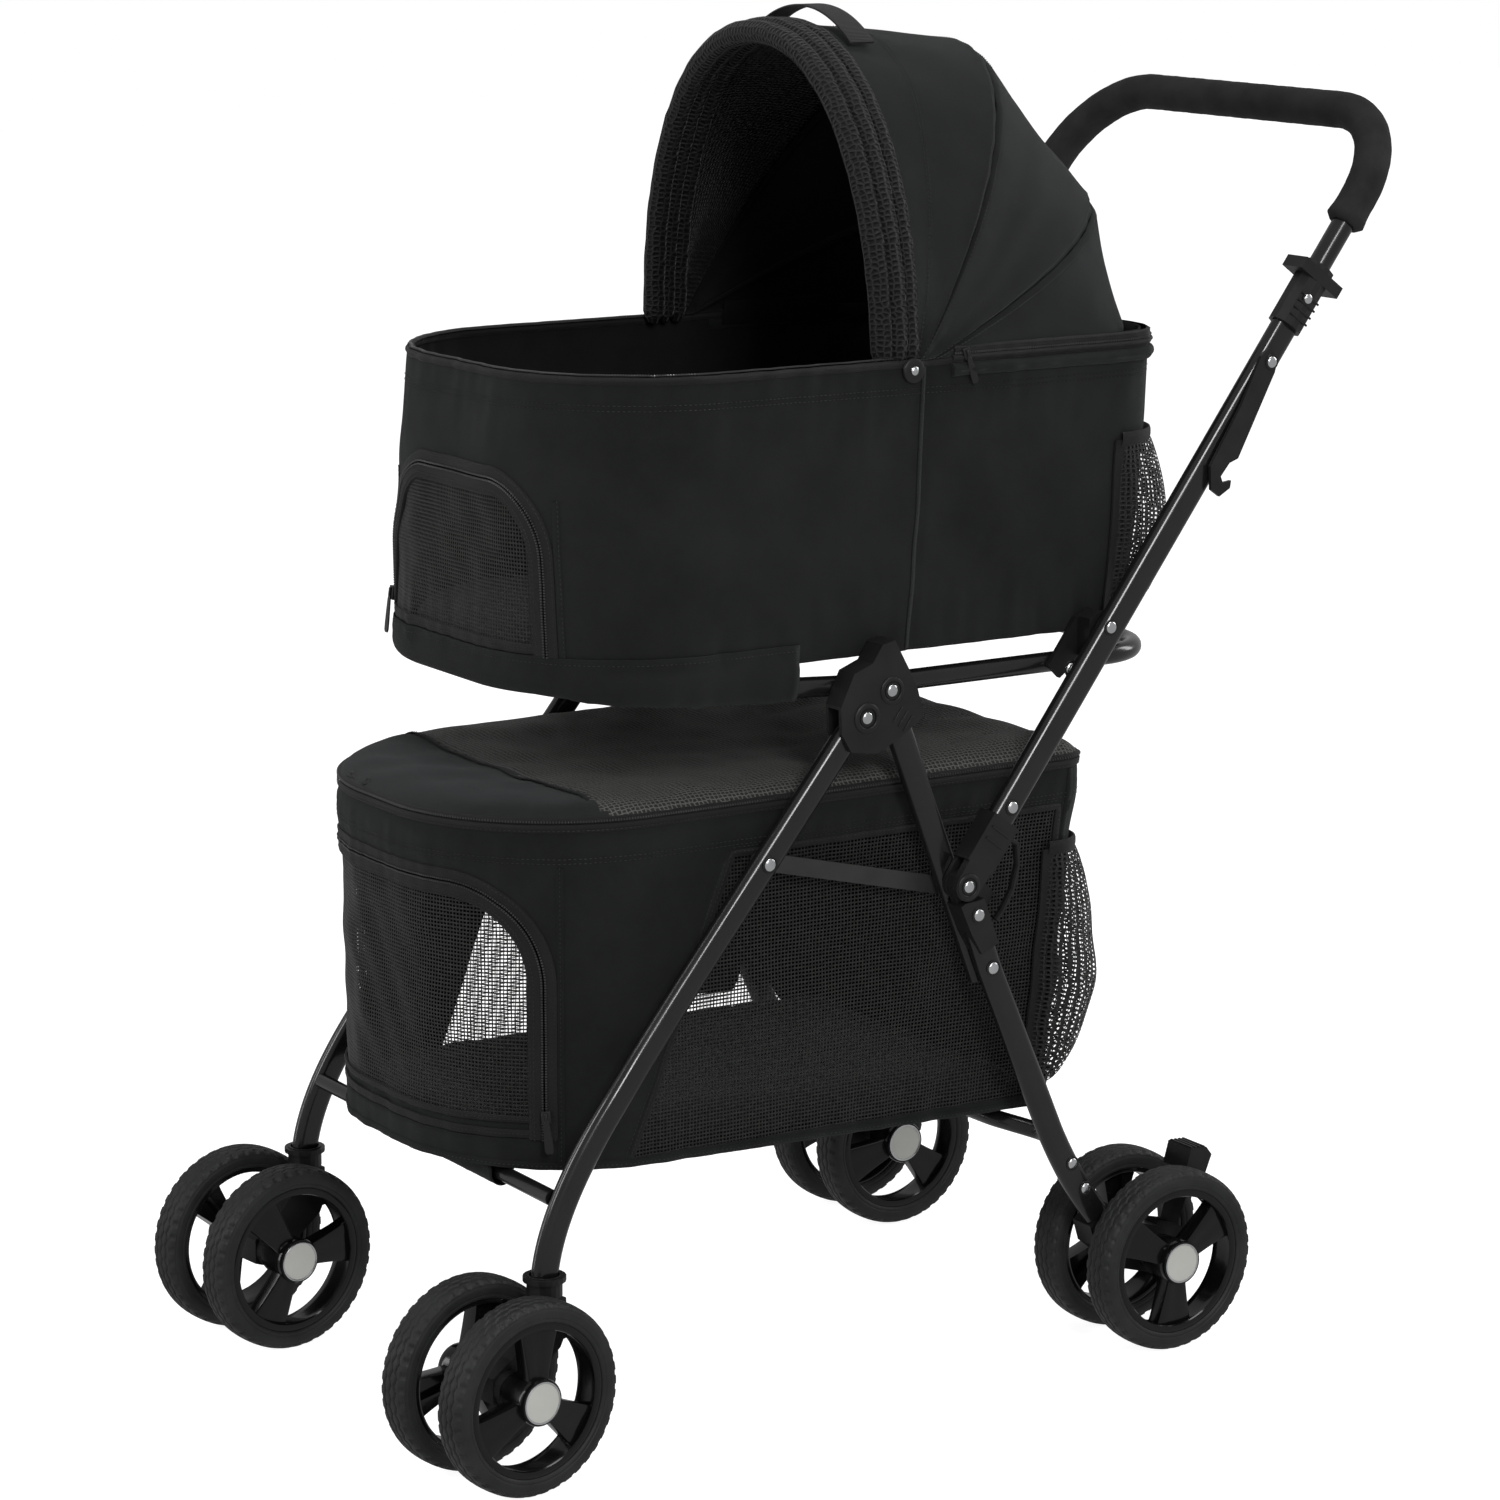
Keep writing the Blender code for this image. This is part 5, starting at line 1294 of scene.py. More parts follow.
def oval(ro, rz, n=12, co=0.0, cz=0.0):
    a = 2 * pi * np.arange(n) / n
    return np.stack([co + ro * np.cos(a), cz + rz * np.sin(a)], -1)


rim_tube("upper_rim_binding", M_up, LU, UT - 0.0010, oval(0.0024, 0.0032, 12, -0.0008, 0.0), "ring", [M_TAPE], lump=0.05)
uCAN = u_of_y(UP, CAN[0])
# piped roll below the canopy zip
for tag, (ua, ub_) in (("r", (uCAN + 0.018, LU)), ("l", (-LU, -uCAN - 0.018))):
    rim_tube("upper_rim_roll_" + tag, M_up, LU, UT - 0.0080, oval(0.0048, 0.0052, 14, 0.0006, 0.0), "ring", [M_FAB], ua, ub_, lump=0.06, seed=5)
    rim_tube("upper_rim_piping_" + tag, M_up, LU, UT + 0.0012, oval(0.0026, 0.0022, 10, 0.0012, 0.0), "ring", [M_TAPE], ua, ub_, lump=0.04, seed=6)
# stitch rows and seams
s = Soup()
for zz in (UT - 0.0195, UT - 0.0235):
    add_stitches(s, M_up, np.array([(u, zz + 0.0008 * sin(u * 9)) for u in stations([-LU, LU], 0.004)]), 0.0038, 0.0, 0.0003, 1)
for sg in (1, -1):
    uS = sg * u_of_y(UP, 0.341)
    pth = np.array([(uS, z) for z in stations([UB + 0.002, UT - 0.004], 0.004)])
    add_strip(s, M_up, pth, [(-0.0052, 0.0001), (-0.0048, 0.0010), (-0.0008, 0.0011), (0.0, -0.0004), (0.0010, 0.0002)], 0)
    add_stitches(s, M_up, pth, 0.0036, -0.0034, 0.0010, 1)
# fell seam beside the door zip
    uF = (DU[1] + 0.0125) if sg > 0 else (DU[0] - 0.0125)
    pth = np.array([(uF, z) for z in stations([UB + 0.002, DU[3] - 0.012], 0.004)])
    add_strip(s, M_up, pth, [(-0.0030, 0.0001), (-0.0026, 0.0008), (0.0026, 0.0008), (0.0030, 0.0001)], 0)
    add_stitches(s, M_up, pth, 0.0036, 0.0016, 0.0008, 1)
s.make("upper_seams", [M_FAB, M_THREAD], "ring", 60, "carrier_fabric")
s = Soup()
pth = np.array([(u, UT + 0.0005) for u in stations([-uCAN + 0.010, uCAN - 0.010], 0.004)])
add_strip(s, M_up, pth, [(-0.0018, -0.0052), (-0.0030, -0.0040), (-0.0034, -0.0020), (-0.0028, 0.0000)], 0)
pr_ = resample(pth, 0.0021)
C0 = M_up(pr_[:, 0], pr_[:, 1] + 0.0024, -0.0022 + 0 * pr_[:, 0])
T0 = np.gradient(C0, axis=0)
s.add(boxes(C0, T0, np.repeat([[0, 0, 1.0]], len(C0), 0), 0.0013, 0.0028, 0.0012), 1)
s.make("upper_rim_zip", [M_TAPE, M_TOOTH_PAINTED_GLINT], "ring", 50, "carrier_fabric")

# hem sleeve: the cloth runs down, turns under and wraps the ring at the front and sides
def sleeve():
    yE = 0.2370
    hx, y0, y1, rf, rr = UP
    Rx, Ry0, RRr = 0.1675, 0.0750, 0.0550
    uE = u_of_y(UP, yE)
    us_ = stations([-uE, uE], 0.0060)
    rp_ = resample(np.array(rounded(Rx, Ry0, 0.590, RRr, 14)), 0.003, True)
    rows, uvs = [], []
    for u in us_:
        x_, y_ = plan(np.array([u]), UP)
        x_, y_ = float(x_[0]), float(y_[0])
        # ring point that this stretch of cloth goes round
        k = int(np.argmin(np.hypot(rp_[:, 0] - x_, rp_[:, 1] - y_)))
        cx, cy = rp_[k]
        q = np.array([x_ - cx, y_ - cy])
        dist_ = float(np.hypot(*q))
        x1, y1_ = plan(np.array([u]), UP, np.array([0.01]))
        n_ = np.array([float(x1[0]) - x_, float(y1_[0]) - y_])
        n_ /= np.linalg.norm(n_)
        zc = float(zr(cy))
        rr_ = 0.0096 + 0.0006 * float(noise2(np.array(u), np.array(0.0), 51, 0.03))
        nn = np.array([n_[0], n_[1], 0.0])
        proj = float((cx - x_) * n_[0] + (cy - y_) * n_[1])
        out = max(0.0022, proj + rr_ + 0.0008)
        zA = max(zc + 0.0020, 0.5850)
        zB = zc - rr_ - 0.0004
        zB = max(zB, 0.5745) if proj < -0.020 else zB + max(0.0, 0.5745 - zB) * float(smooth01(np.array((-proj - 0.008) / 0.012)))
        wall = M_up(np.array([u]), np.array([UB + 0.0150]), np.array([0.0008]))[0]
        w1 = M_up(np.array([u]), np.array([UB + 0.0060]), np.array([0.0014]))[0]
        pts = [wall, (wall + w1) / 2, w1]
        base_ = np.array([x_, y_, 0.0])
        pts.append(base_ + nn * (0.0014 + (out - 0.0014) * 0.6) + np.array([0, 0, (w1[2] + zA) / 2]))
        for a in np.linspace(0, pi / 2, 7):
            pts.append(base_ + nn * (out - 0.0080 * (1 - cos(a))) + np.array([0, 0, zA - (zA - zB) * sin(a)]))
        under = np.array([cx, cy, zc - rr_])
        last = pts[-1]
        far_ = float(smooth01(np.array((-proj - 0.012) / 0.012)))
        for f_ in (0.3, 0.6, 0.85):
            a_ = last * (1 - f_) + under * f_
            a_[2] -= 0.0012 * sin(pi * f_) * far_
            pts.append(a_)
        for a in np.linspace(-pi / 2 + 0.2, -pi - 0.5, 7):
            pts.append(np.array([cx, cy, zc]) + nn * rr_ * cos(a) + np.array([0, 0, rr_ * sin(a)]))
        rows.append(pts)
        dd = np.r_[0, np.cumsum(np.linalg.norm(np.diff(np.array(pts), axis=0), axis=1))]
        uvs.append(np.stack([u + 0 * dd, -dd], -1))
    R_ = np.array(rows)
    o = make("upper_hem_sleeve", R_.reshape(-1, 3), gridF(R_.shape[0], R_.shape[1]).tolist(), [M_FAB], None, uv=np.array(uvs), sharp=80)
    me_ = o.data
    # face away from the inside of the carrier
    c_ = np.array([0.0, 0.30 + OY, 0.62])
    s_ = sum(Vector(p.normal).dot(Vector(p.center) - Vector(c_)) * p.area for p in me_.polygons)
    if s_ < 0:
        me_.flip_normals()
    solidify(o, 0.0009, 1.0)
    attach(o, "ring")
    s = Soup()
    add_stitches(s, M_up, np.array([(u, UB + 0.0105) for u in stations([-uE + 0.003, uE - 0.003], 0.004)]), 0.0036, 0.0, 0.0019, 0)
    s.make("upper_hem_stitches", [M_THREAD], "ring", 60, "carrier_fabric")


sleeve()


# ---------------------------------------------------------------- lower carrier
def lower(ob, body="rear_frame"):
    """Rides the given body, the rear frame unless told otherwise, on a mesh of its own."""
    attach(ob, body)
    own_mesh(ob)
    return ob


yA, yB = 0.094, 0.1838
W0, W1 = 0.2212, 0.4450
uW0 = u_of_y(LO, yA + 0.394 * (W0 - 0.217))
uWf = u_of_y(LO, 0.094)
uWr = u_of_y(LO, 0.466)


def z_lo(U, H_):
    """Rows lean down to the carrier's sloping foot, and columns lean with the window's front edge."""
    a = np.abs(U)
    sh = 0.394 * (H_ - 0.217)
    w = np.clip((a - 0.180) / (uWf - 0.180), 0, 1) * np.clip((uWr - a) / (uWr - uWf), 0, 1)
    U2 = U + np.sign(U) * sh * w
    x, y = plan(U2, LO)
    Z = H_ + (lb(y) - 0.2146) * np.clip(1 - (H_ - 0.2146) / 0.0254, 0, 1)
    return U2, Z


rowsL = stations([0.2148, W0, DL[2], DL[3], W1, LT - 0.0005], 0.0045)
brL = [-LL, -uWr, -uWf, DL[0], DL[1], uWf, uWr, LL]
us, U, Z, V, F_, gone, kind = cloth_shell("l", M_lo, LO, LL, brL, rowsL, z_lo, DL, [(uWf, uWr, W0, W1), (-uWr, -uWf, W0, W1)], "rear_frame", 0.0016, 0.0045)
m_, n_ = U.shape
wall_keep = F_[(~gone) & (kind == 0)]
Vf = [V.reshape(-1, 3)]
prev = np.arange(m_) * n_
base = m_ * n_
floorF = []
for d_ in (-0.004, -0.012, -0.020):
    x, y = plan(U[:, 0], LO, d_)
    Vf.append(np.stack([x, y, lb(y) + 0.0010], -1))
    cur = base + np.arange(m_)
    base += m_
    for k in range(m_):
        floorF.append([int(prev[k]), int(cur[k]), int(cur[(k + 1) % m_]), int(prev[(k + 1) % m_])])
    prev = cur
floorF.append([int(v) for v in prev[::-1]])
VV = np.vstack(Vf)
uvw = np.zeros((len(VV), 2))
uvw[: m_ * n_, 0], uvw[: m_ * n_, 1] = U.ravel(), Z.ravel()
uvw[m_ * n_:] = VV[m_ * n_:, :2]
lowc = make("lower_carrier_cloth", VV, wall_keep.tolist() + floorF, [M_FAB, M_FABIN], None, uv=uvw, sharp=70)
fix_normals(lowc)
md = lowc.modifiers.new("t", "SOLIDIFY")
md.thickness, md.offset, md.material_offset, md.use_rim = 0.0016, -1.0, 1, True
apply_mods(lowc)
lower(lowc)
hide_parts("lower_carrier_shell")
for k, tag in ((1, "r"), (2, "l")):
    q = F_[kind == k]
    ids = np.unique(q)
    remap = -np.ones(U.size, int)
    remap[ids] = np.arange(len(ids))
    Uq, Zq = U.ravel()[ids], Z.ravel()[ids]
    Vq = M_lo(Uq, Zq, -0.0009 + 0.0003 * noise2(Uq, Zq, 61, 0.12))
    lower(make("side_window_" + tag, Vq, remap[q].tolist(), [M_MESHL if tag == "l" else M_MESH], None, uv=np.stack([Uq, Zq], -1)))

# window frames: bound edge and stitch rows
s = Soup()
for sg in (1, -1):
    def uwf(z):
        return uWf + 0.394 * (z - 0.217)
    per = [(uwf(z), z) for z in stations([W0 + 0.001, W1], 0.004)]
    per += [(u, W1) for u in stations([uwf(W1), uWr], 0.004)[1:]]
    per += [(uWr, z) for z in stations([W0, W1], 0.004)[::-1][1:]]
    per = np.array(per)
    if sg < 0:
        per = per * [-1, 1]
    w = 0.0034 * sg
    prof = [(-w * 0.3, -0.0010), (-w * 0.3, 0.0006), (w * 0.2, 0.0011), (w * 1.1, 0.0009), (w * 1.25, 0.0001)]
    # to the left of travel lies the cloth on the right-hand wall
    prof = [(-a, b) for a, b in prof]
    if sg > 0:
        prof = prof[::-1]
    else:
        prof = prof
    prof = sorted(prof, key=lambda t: t[0])
    add_strip(s, M_lo, per, prof, 0)
    add_stitches(s, M_lo, per, 0.0036, -0.0028 * sg, 0.0010, 1)
    add_stitches(s, M_lo, per, 0.0036, -0.0064 * sg, 0.0004, 1)
lower(s.make("side_window_binding", [M_TAPE, M_THREAD], None, 60, "carrier_fabric"))

# zip round the lower door
zip_sh = zip_side(M_lo, door_outline(DL, 0.003), -1, None, "lower_door_zip_shell")
lower(zip_sh)
zip_fl = zip_side(M_lo, door_outline(DL, 0.003, 0.0006), 1, None, "lower_door_zip_flap")
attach(zip_fl, "lower_door")
dp = door_piece("lower_door", M_lo, DL, "lower_door", "lower_front_door", M_MESH, 0.0150)
for nm in ("lower_door_mesh", "lower_door_binding", "lower_door_zip_flap"):
    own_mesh(bpy.data.objects[nm])
pc = M_lo(np.array([DL[1] + 0.001]), np.array([0.2560]), np.array([0.0012]))[0]
pn = M_lo(np.array([DL[1] + 0.001]), np.array([0.2560]), np.array([0.01]))[0] - pc
lower(puller("lower_door_puller", pc, (0.2, 0, -1), pn, None, 1.0))

# rim: binding, zip round the lid, stitch rows
lower(rim_tube("lower_rim_binding", M_lo, LL, LT - 0.0012, oval(0.0024, 0.0030, 12, -0.0002, 0.0), None, [M_TAPE], lump=0.05))
s = Soup()
ring_u = np.array([(u, LT - 0.0034) for u in stations([-LL, LL], 0.004)])
add_strip(s, M_lo, ring_u, [(-0.0004, 0.0022), (0.0008, 0.0027), (0.0050, 0.0016), (0.0060, 0.0004)], 0)
pr_ = resample(ring_u, 0.0022)
add_teeth(s, M_lo, ring_u, -0.0026, 0.0022, 1, 0.0022)
add_stitches(s, M_lo, ring_u, 0.0036, 0.0042, 0.0021, 2)
for zz in (LT - 0.0290, LT - 0.0325):
    add_stitches(s, M_lo, np.array([(u, zz) for u in stations([-LL, LL], 0.004)]), 0.0038, 0.0, 0.0003, 2)
# hem seam near the foot
foot = [(u, float(lb(plan(np.array([u]), LO)[1][0])) + 0.0035) for u in stations([-LL, LL], 0.004)]
add_strip(s, M_lo, np.array(foot), [(-0.0028, 0.0001), (-0.0024, 0.0009), (0.0, 0.0014), (0.0026, 0.0010), (0.0032, -0.0002)], 3)
add_stitches(s, M_lo, np.array(foot), 0.0036, 0.0, 0.0013, 2)
for sg in (1, -1):
    u_s = sg * (uWr + 0.0085)
    pth = np.array([(u_s, z) for z in stations([0.206, LT - 0.010], 0.004)])
    add_strip(s, M_lo, pth, [(-0.0028, 0.0001), (-0.0022, 0.0009), (0.0022, 0.0009), (0.0028, 0.0001)], 3)
    add_stitches(s, M_lo, pth, 0.0036, 0.0, 0.0009, 2)
    u_s = (DL[1] + 0.0120) if sg > 0 else (DL[0] - 0.0120)
    pth = np.array([(u_s, z) for z in stations([0.218, LT - 0.036], 0.004)])
    add_strip(s, M_lo, pth, [(-0.0028, 0.0001), (-0.0022, 0.0008), (0.0022, 0.0008), (0.0028, 0.0001)], 3)
    add_stitches(s, M_lo, pth, 0.0036, 0.0, 0.0008, 2)
lower(s.make("lower_seams", [M_TAPE, M_TOOTH_PAINTED_GLINT, M_THREAD, M_FAB], None, 60, "carrier_fabric"))

# dark sheet hanging inside the far window: painted shade, darkening what shows through both window meshes
yy = stations([0.228, 0.480], 0.004)
vv = np.linspace(0, 1, 34)
Yg, Vg = np.meshgrid(yy, vv, indexing="ij")
z_foot = 0.2350 - 0.0200 * smooth01((Yg - 0.425) / 0.02) + 0.0300 * np.exp(-((Yg - 0.402) / 0.006) ** 2) + 0.0012 * np.sin(Yg * 60)
Zg = z_foot + (0.447 - z_foot) * Vg
Xg = -(LO[0] - 0.0045 - 0.0016 * (noise2(Yg, Zg * 0.3, 71, 0.05) + 1.6))
# follows the wall round its rear corner
Xg = Xg + np.clip((Yg - (LO[2] - LO[4])) / LO[4], 0, 1) ** 2 * LO[4] * 0.30
Yg = Yg + flare(Yg, Zg) - 0.004 * smooth01((Yg - 0.46) / 0.02)
flap = make("far_window_painted_shade_sheet", np.stack([Xg, Yg, Zg], -1), gridF(len(yy), len(vv)).tolist(), [M_FABIN], None, uv=np.stack([Yg, Zg], -1))
solidify(flap, 0.0010, 0.0)
lower(flap)

# facing along the far window's front edge
zz = stations([W0 - 0.003, W1 + 0.003], 0.005)
tt = np.linspace(-0.004, 0.0150, 5)
Zf, Tf = np.meshgrid(zz, tt, indexing="ij")
Vq = M_lo(-(uWf + 0.394 * (Zf - 0.217) + Tf), Zf, -0.0030 + 0 * Zf)
fac = make("window_facing_l", Vq.reshape(-1, 3), gridF(len(zz), len(tt)).tolist(), [M_FABIN], None, uv=np.stack([Tf, Zf], -1))
solidify(fac, 0.0008, 0.0)
lower(fac)


# ---------------------------------------------------------------- lid of the lower carrier
def sdf_plan(x, y, prm):
    """Distance inside a rounded plan."""
    hx, y0, y1, rf, rr = prm
    yc = (y0 + y1) / 2
    r = np.where(y < yc, rf, rr)
    qx = np.abs(x) - (hx - r)
    qy = np.where(y < yc, (y0 + r) - y, y - (y1 - r))
    out = np.hypot(np.maximum(qx, 0), np.maximum(qy, 0)) + np.minimum(np.maximum(qx, qy), 0) - r
    return -out


def z_lid(x, y):
    d = np.maximum(sdf_plan(x, y, LO) + 0.002, 0)
    z = LT + 0.0004 + 0.0120 * (1 - np.exp(-d / 0.010))
    w = smooth01(d / 0.03)
    z = z - 0.0035 * w * smooth01((d - 0.03) / 0.08)
    z = z + w * (0.0010 * noise2(x, y, 81, 0.09) + 0.0008 * noise2(x * 0.5, y, 82, 0.045))
    # pleats that fan from the rear and the seam
    z = z + 0.0034 * w * smooth01((y - 0.27) / 0.14) * np.abs(np.sin(x * 46 + 1.3 * np.sin(y * 17))) - 0.0016 * np.exp(-((y - 0.075) / 0.004) ** 2) * w
    return z


lp_us = stations([-LL, LL], 0.006)[:-1]
loops_ = []
for d_ in (0.0026, 0.0006, -0.003, -0.007, -0.012, -0.0185):
    x, y = plan(lp_us, LO, d_)
    loops_.append((x, y))
xc, yc = 0.0, 0.24
x4, y4 = loops_[-1]
for sfac in np.linspace(0, 1, 26)[1:-1]:
    loops_.append((x4 + (xc - x4) * sfac, y4 + (yc - y4) * sfac))
Lx, Ly = np.array([a for a, b in loops_]), np.array([b for a, b in loops_])
Lz = z_lid(Lx, Ly)
nl, ml = Lx.shape
Vl = np.vstack([np.stack([Lx, Ly + flare(Ly, Lz), Lz], -1).reshape(-1, 3), [[xc, yc + float(flare(np.array(yc), np.array(LT))), float(z_lid(np.array(xc), np.array(yc)))]]])
Fl = gridF(nl, ml, cv=True).tolist() + [[(nl - 1) * ml + i, (nl - 1) * ml + (i + 1) % ml, nl * ml] for i in range(ml)]
mi = [0 if np.mean([Vl[i][1] for i in f]) < 0.075 else 1 for f in Fl]
# both lid materials are lit copies: painted light on the lid's upward-facing top
lid = make("lower_lid_cloth", Vl, Fl, [M_LIDFAB_PAINTED_LIGHT, M_SPFINE_PAINTED_LIGHT], None, mi, Vl[:, :2], 75)
fix_normals(lid)
if sum(p.normal.z for p in lid.data.polygons) < 0:
    lid.data.flip_normals()
solidify(lid, 0.0012, -1.0)
lower(lid)
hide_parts("lower_carrier_lid")
s = Soup()
xs = stations([-0.150, 0.150], 0.004)
seam_y = 0.075 + 0 * xs
okx = sdf_plan(xs, seam_y, LO) > 0.011
xs, seam_y = xs[okx], seam_y[okx]
rows_ = []
for dy, dz in ((-0.0060, 0.0002), (-0.0054, 0.0012), (-0.0010, 0.0016), (0.0002, 0.0006), (0.0004, -0.0006)):
    low = smooth01((sdf_plan(xs, seam_y, LO) - 0.011) / 0.022)
    rows_.append(np.stack([xs, seam_y + dy, z_lid(xs, seam_y + dy) + (dz + 0.0008) * low - 0.0008 * (1 - low)], -1))
R_ = np.stack(rows_, 1)
s.add((R_.reshape(-1, 3), gridF(len(xs), 5).tolist()), 0, np.stack([R_[..., 0], R_[..., 1]], -1))
st = np.stack([xs, seam_y - 0.0034, z_lid(xs, seam_y - 0.0034) + 0.0024 * smooth01((sdf_plan(xs, seam_y, LO) - 0.011) / 0.022)], -1)
st = resample(st, 0.0036)
s.add(lozenges(st, np.gradient(st, axis=0), np.repeat([[0, 0, 1.0]], len(st), 0), 0.0026, 0.0007, 0.0005), 1)
lower(s.make("lower_lid_seam", [M_FAB, M_THREAD], None, 60, "carrier_fabric"))
for i, uu_ in enumerate((-0.056, -0.026)):
    pc = M_lo(np.array([uu_]), np.array([LT + 0.0020]), np.array([-0.0050]))[0]
    lower(puller("lid_puller_%d" % i, pc, (0.9 if i == 0 else -0.25, 0.16 if i else -0.12, -0.10), (0, -0.30, 1.0), None, 0.95))


# ---------------------------------------------------------------- net pockets on the back walls
def pocket(name, M, Lh, prm, w, z0, z1, depth, body, low_=False, base_drop=0.0, seed=91):
    ur = stations([-w, w], 0.005)
    zz = stations([z0, z1], 0.005)
    Ur, Zg = np.meshgrid(ur, zz, indexing="ij")
    t = (Zg - z0) / (z1 - z0)
    e = np.clip(1 - (np.abs(Ur) / w) ** 5, 0, 1)
    prof = np.sin(pi * np.clip(t, 0, 1) ** 0.75) ** 0.8 * depth * e + 0.0030 * e * t + 0.0026
    prof = prof + 0.0016 * noise2(Ur, Zg * 0.3, seed, 0.035) * e * np.sin(pi * np.clip(t * 0.9 + 0.1, 0, 1))
    U_ = np.where(Ur >= 0, Lh - Ur, -(Lh + Ur))
    V = M(U_, Zg, prof)
    o = make(name, V.reshape(-1, 3), gridF(len(ur), len(zz)).tolist(), [M_NET], None, uv=np.stack([Ur, Zg], -1))
    s = Soup()
    top = V[:, -1]
    k = 1 + 0.10 * np.sin(ur * 900)
    rows_ = []
    for a in np.linspace(0, 2 * pi, 11)[:-1]:
        rows_.append(M(U_[:, -1], Zg[:, -1] + 0.0062 * np.sin(a), prof[:, -1] + 0.0018 * k * np.cos(a)))
    R_ = np.stack(rows_, 1)
    s.add((R_.reshape(-1, 3), gridF(len(ur), 10, cv=True).tolist()), 0, np.stack([np.repeat(ur[:, None], 10, 1), R_[..., 2]], -1))
    # bound sides and foot
    for sg in (-1, 1):
        j = 0 if sg < 0 else -1
        for dz_ in (0,):
            rows_ = []
            for du, dn in ((-0.0050, 0.0004), (-0.0046, 0.0022), (0.0046, 0.0022), (0.0050, 0.0004)):
                ue = U_[j, :] + sg * du * -1
                rows_.append(M(ue, Zg[j, :], 0.0012 + dn + 0 * ue))
            R_ = np.stack(rows_, 1)
            s.add((R_.reshape(-1, 3), gridF(len(zz), 4).tolist()), 0, np.stack([np.repeat(Zg[j, :, None], 4, 1), R_[..., 0]], -1))
    rows_ = []
    for dz_, dn in ((-0.0050, 0.0004), (-0.0044, 0.0026), (0.0036, 0.0030), (0.0044, 0.0006)):
        rows_.append(M(U_[:, 0], Zg[:, 0] + dz_, 0.0010 + dn + 0 * ur))
    R_ = np.stack(rows_, 1)
    s.add((R_.reshape(-1, 3), gridF(len(ur), 4).tolist()), 0, np.stack([np.repeat(ur[:, None], 4, 1), R_[..., 2]], -1))
    b = s.make(name + "_binding", [M_TAPE], None, 60, "carrier_fabric")
    for x_ in (o, b):
        if low_:
            lower(x_)
        else:
            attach(x_, body)


pocket("upper_rear_pocket", M_up, LU, UP, 0.198, 0.5960, 0.7380, 0.031, "ring", seed=91)
pocket("lower_rear_pocket", M_lo, LL, LO, 0.186, 0.2180, 0.4130, 0.048, "rear_frame", True, seed=92)

# loops of cloth that tie the carrier's foot to the front cross tube
s = Soup()
for x0, x1 in ((-0.110, -0.030), (0.030, 0.110)):
    xs = stations([x0, x1], 0.005)
    sec = [(FC[0] - 0.0094, 0.2146), (FC[0] - 0.0092, FC[1] + 0.0030)] + [(FC[0] + 0.0092 * cos(a), FC[1] + 0.0092 * sin(a)) for a in np.linspace(-pi, 0, 14)] + [(FC[0] + 0.0092, FC[1] + 0.0030), (FC[0] + 0.0094, 0.2138)]
    R_ = np.array([[(x, y + 0.0003 * float(noise2(np.array(x), np.array(z), 95, 0.02)), z) for y, z in sec] for x in xs])
    d = np.r_[0, np.cumsum(np.hypot(*np.diff(np.array(sec), axis=0).T))]
    s.add((R_.reshape(-1, 3), gridF(len(xs), len(sec)).tolist()), 0, np.stack([R_[..., 0], d[None] + 0 * R_[..., 0]], -1))
sl = s.make("front_tube_loops", [M_FAB], None, 70, "carrier_fabric")
fix_normals(sl)
solidify(sl, 0.0010, 1.0)
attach(sl, "front_legs")


# ---------------------------------------------------------------- canopy
def arch(th, t, off=0.0):
    th, t = np.asarray(th, float), np.asarray(t, float)
    dg = np.degrees(th)
    w, rad, nn = (np.interp(dg, BOWS[:, 0], BOWS[:, i]) for i in (1, 2, 3))
    c, sn = np.cos(t), np.sin(t)
    x = (w + off) * np.sign(c) * np.abs(c) ** (2 / nn)
    r = np.maximum((rad + off) * np.abs(sn) ** (2 / nn), 0.004)
    z = np.maximum(CAN[1] + r * np.cos(th), UT + 0.0016 + 0.02 * r * np.maximum(0, np.cos(th)))
    return np.stack([x + 0 * th, CAN[0] + r * np.sin(th), z], -1)


TT = pi * (0.5 - 0.5 * np.cos(pi * np.linspace(0, 1, 97)))


def gore_O(T2, S2, d0, d1, off0, sag, seed, edge):
    """How far a gore's cloth lies off the bows' surface."""
    fade = np.sin(T2) ** 0.5
    wide = CR * radians(d1 - d0)
    O = off0 - sag * np.sin(pi * S2) * fade
    le = 0.0022 / abs(wide)
    if edge[0]:
        O = O - 0.0022 * np.exp(-(S2 / le) ** 2)
    if edge[1]:
        O = O - 0.0022 * np.exp(-((1 - S2) / le) ** 2)
    arcl = T2 * 0.26
    near = edge[0] * np.exp(-(S2 * wide / 0.014)) + edge[1] * np.exp(-((1 - S2) * wide / 0.014))
    O = O + (0.0010 * noise2(arcl, S2 * 0.02, seed, 0.026) * near + 0.0012 * noise2(arcl, S2 * wide, seed + 1, 0.11) * np.sin(pi * S2)) * fade
    return np.minimum(O, 0.0006)


def on_gore(T2, S2, d0, d1, chord, O):
    """Points of a gore that is part arc and part straight between its bows."""
    P = arch(np.radians(d0 + (d1 - d0) * S2), T2, O)
    A_, B_ = arch(radians(d0) + 0 * T2, T2, O), arch(radians(d1) + 0 * T2, T2, O)
    return P * (1 - chord) + (A_ * (1 - S2[..., None]) + B_ * S2[..., None]) * chord


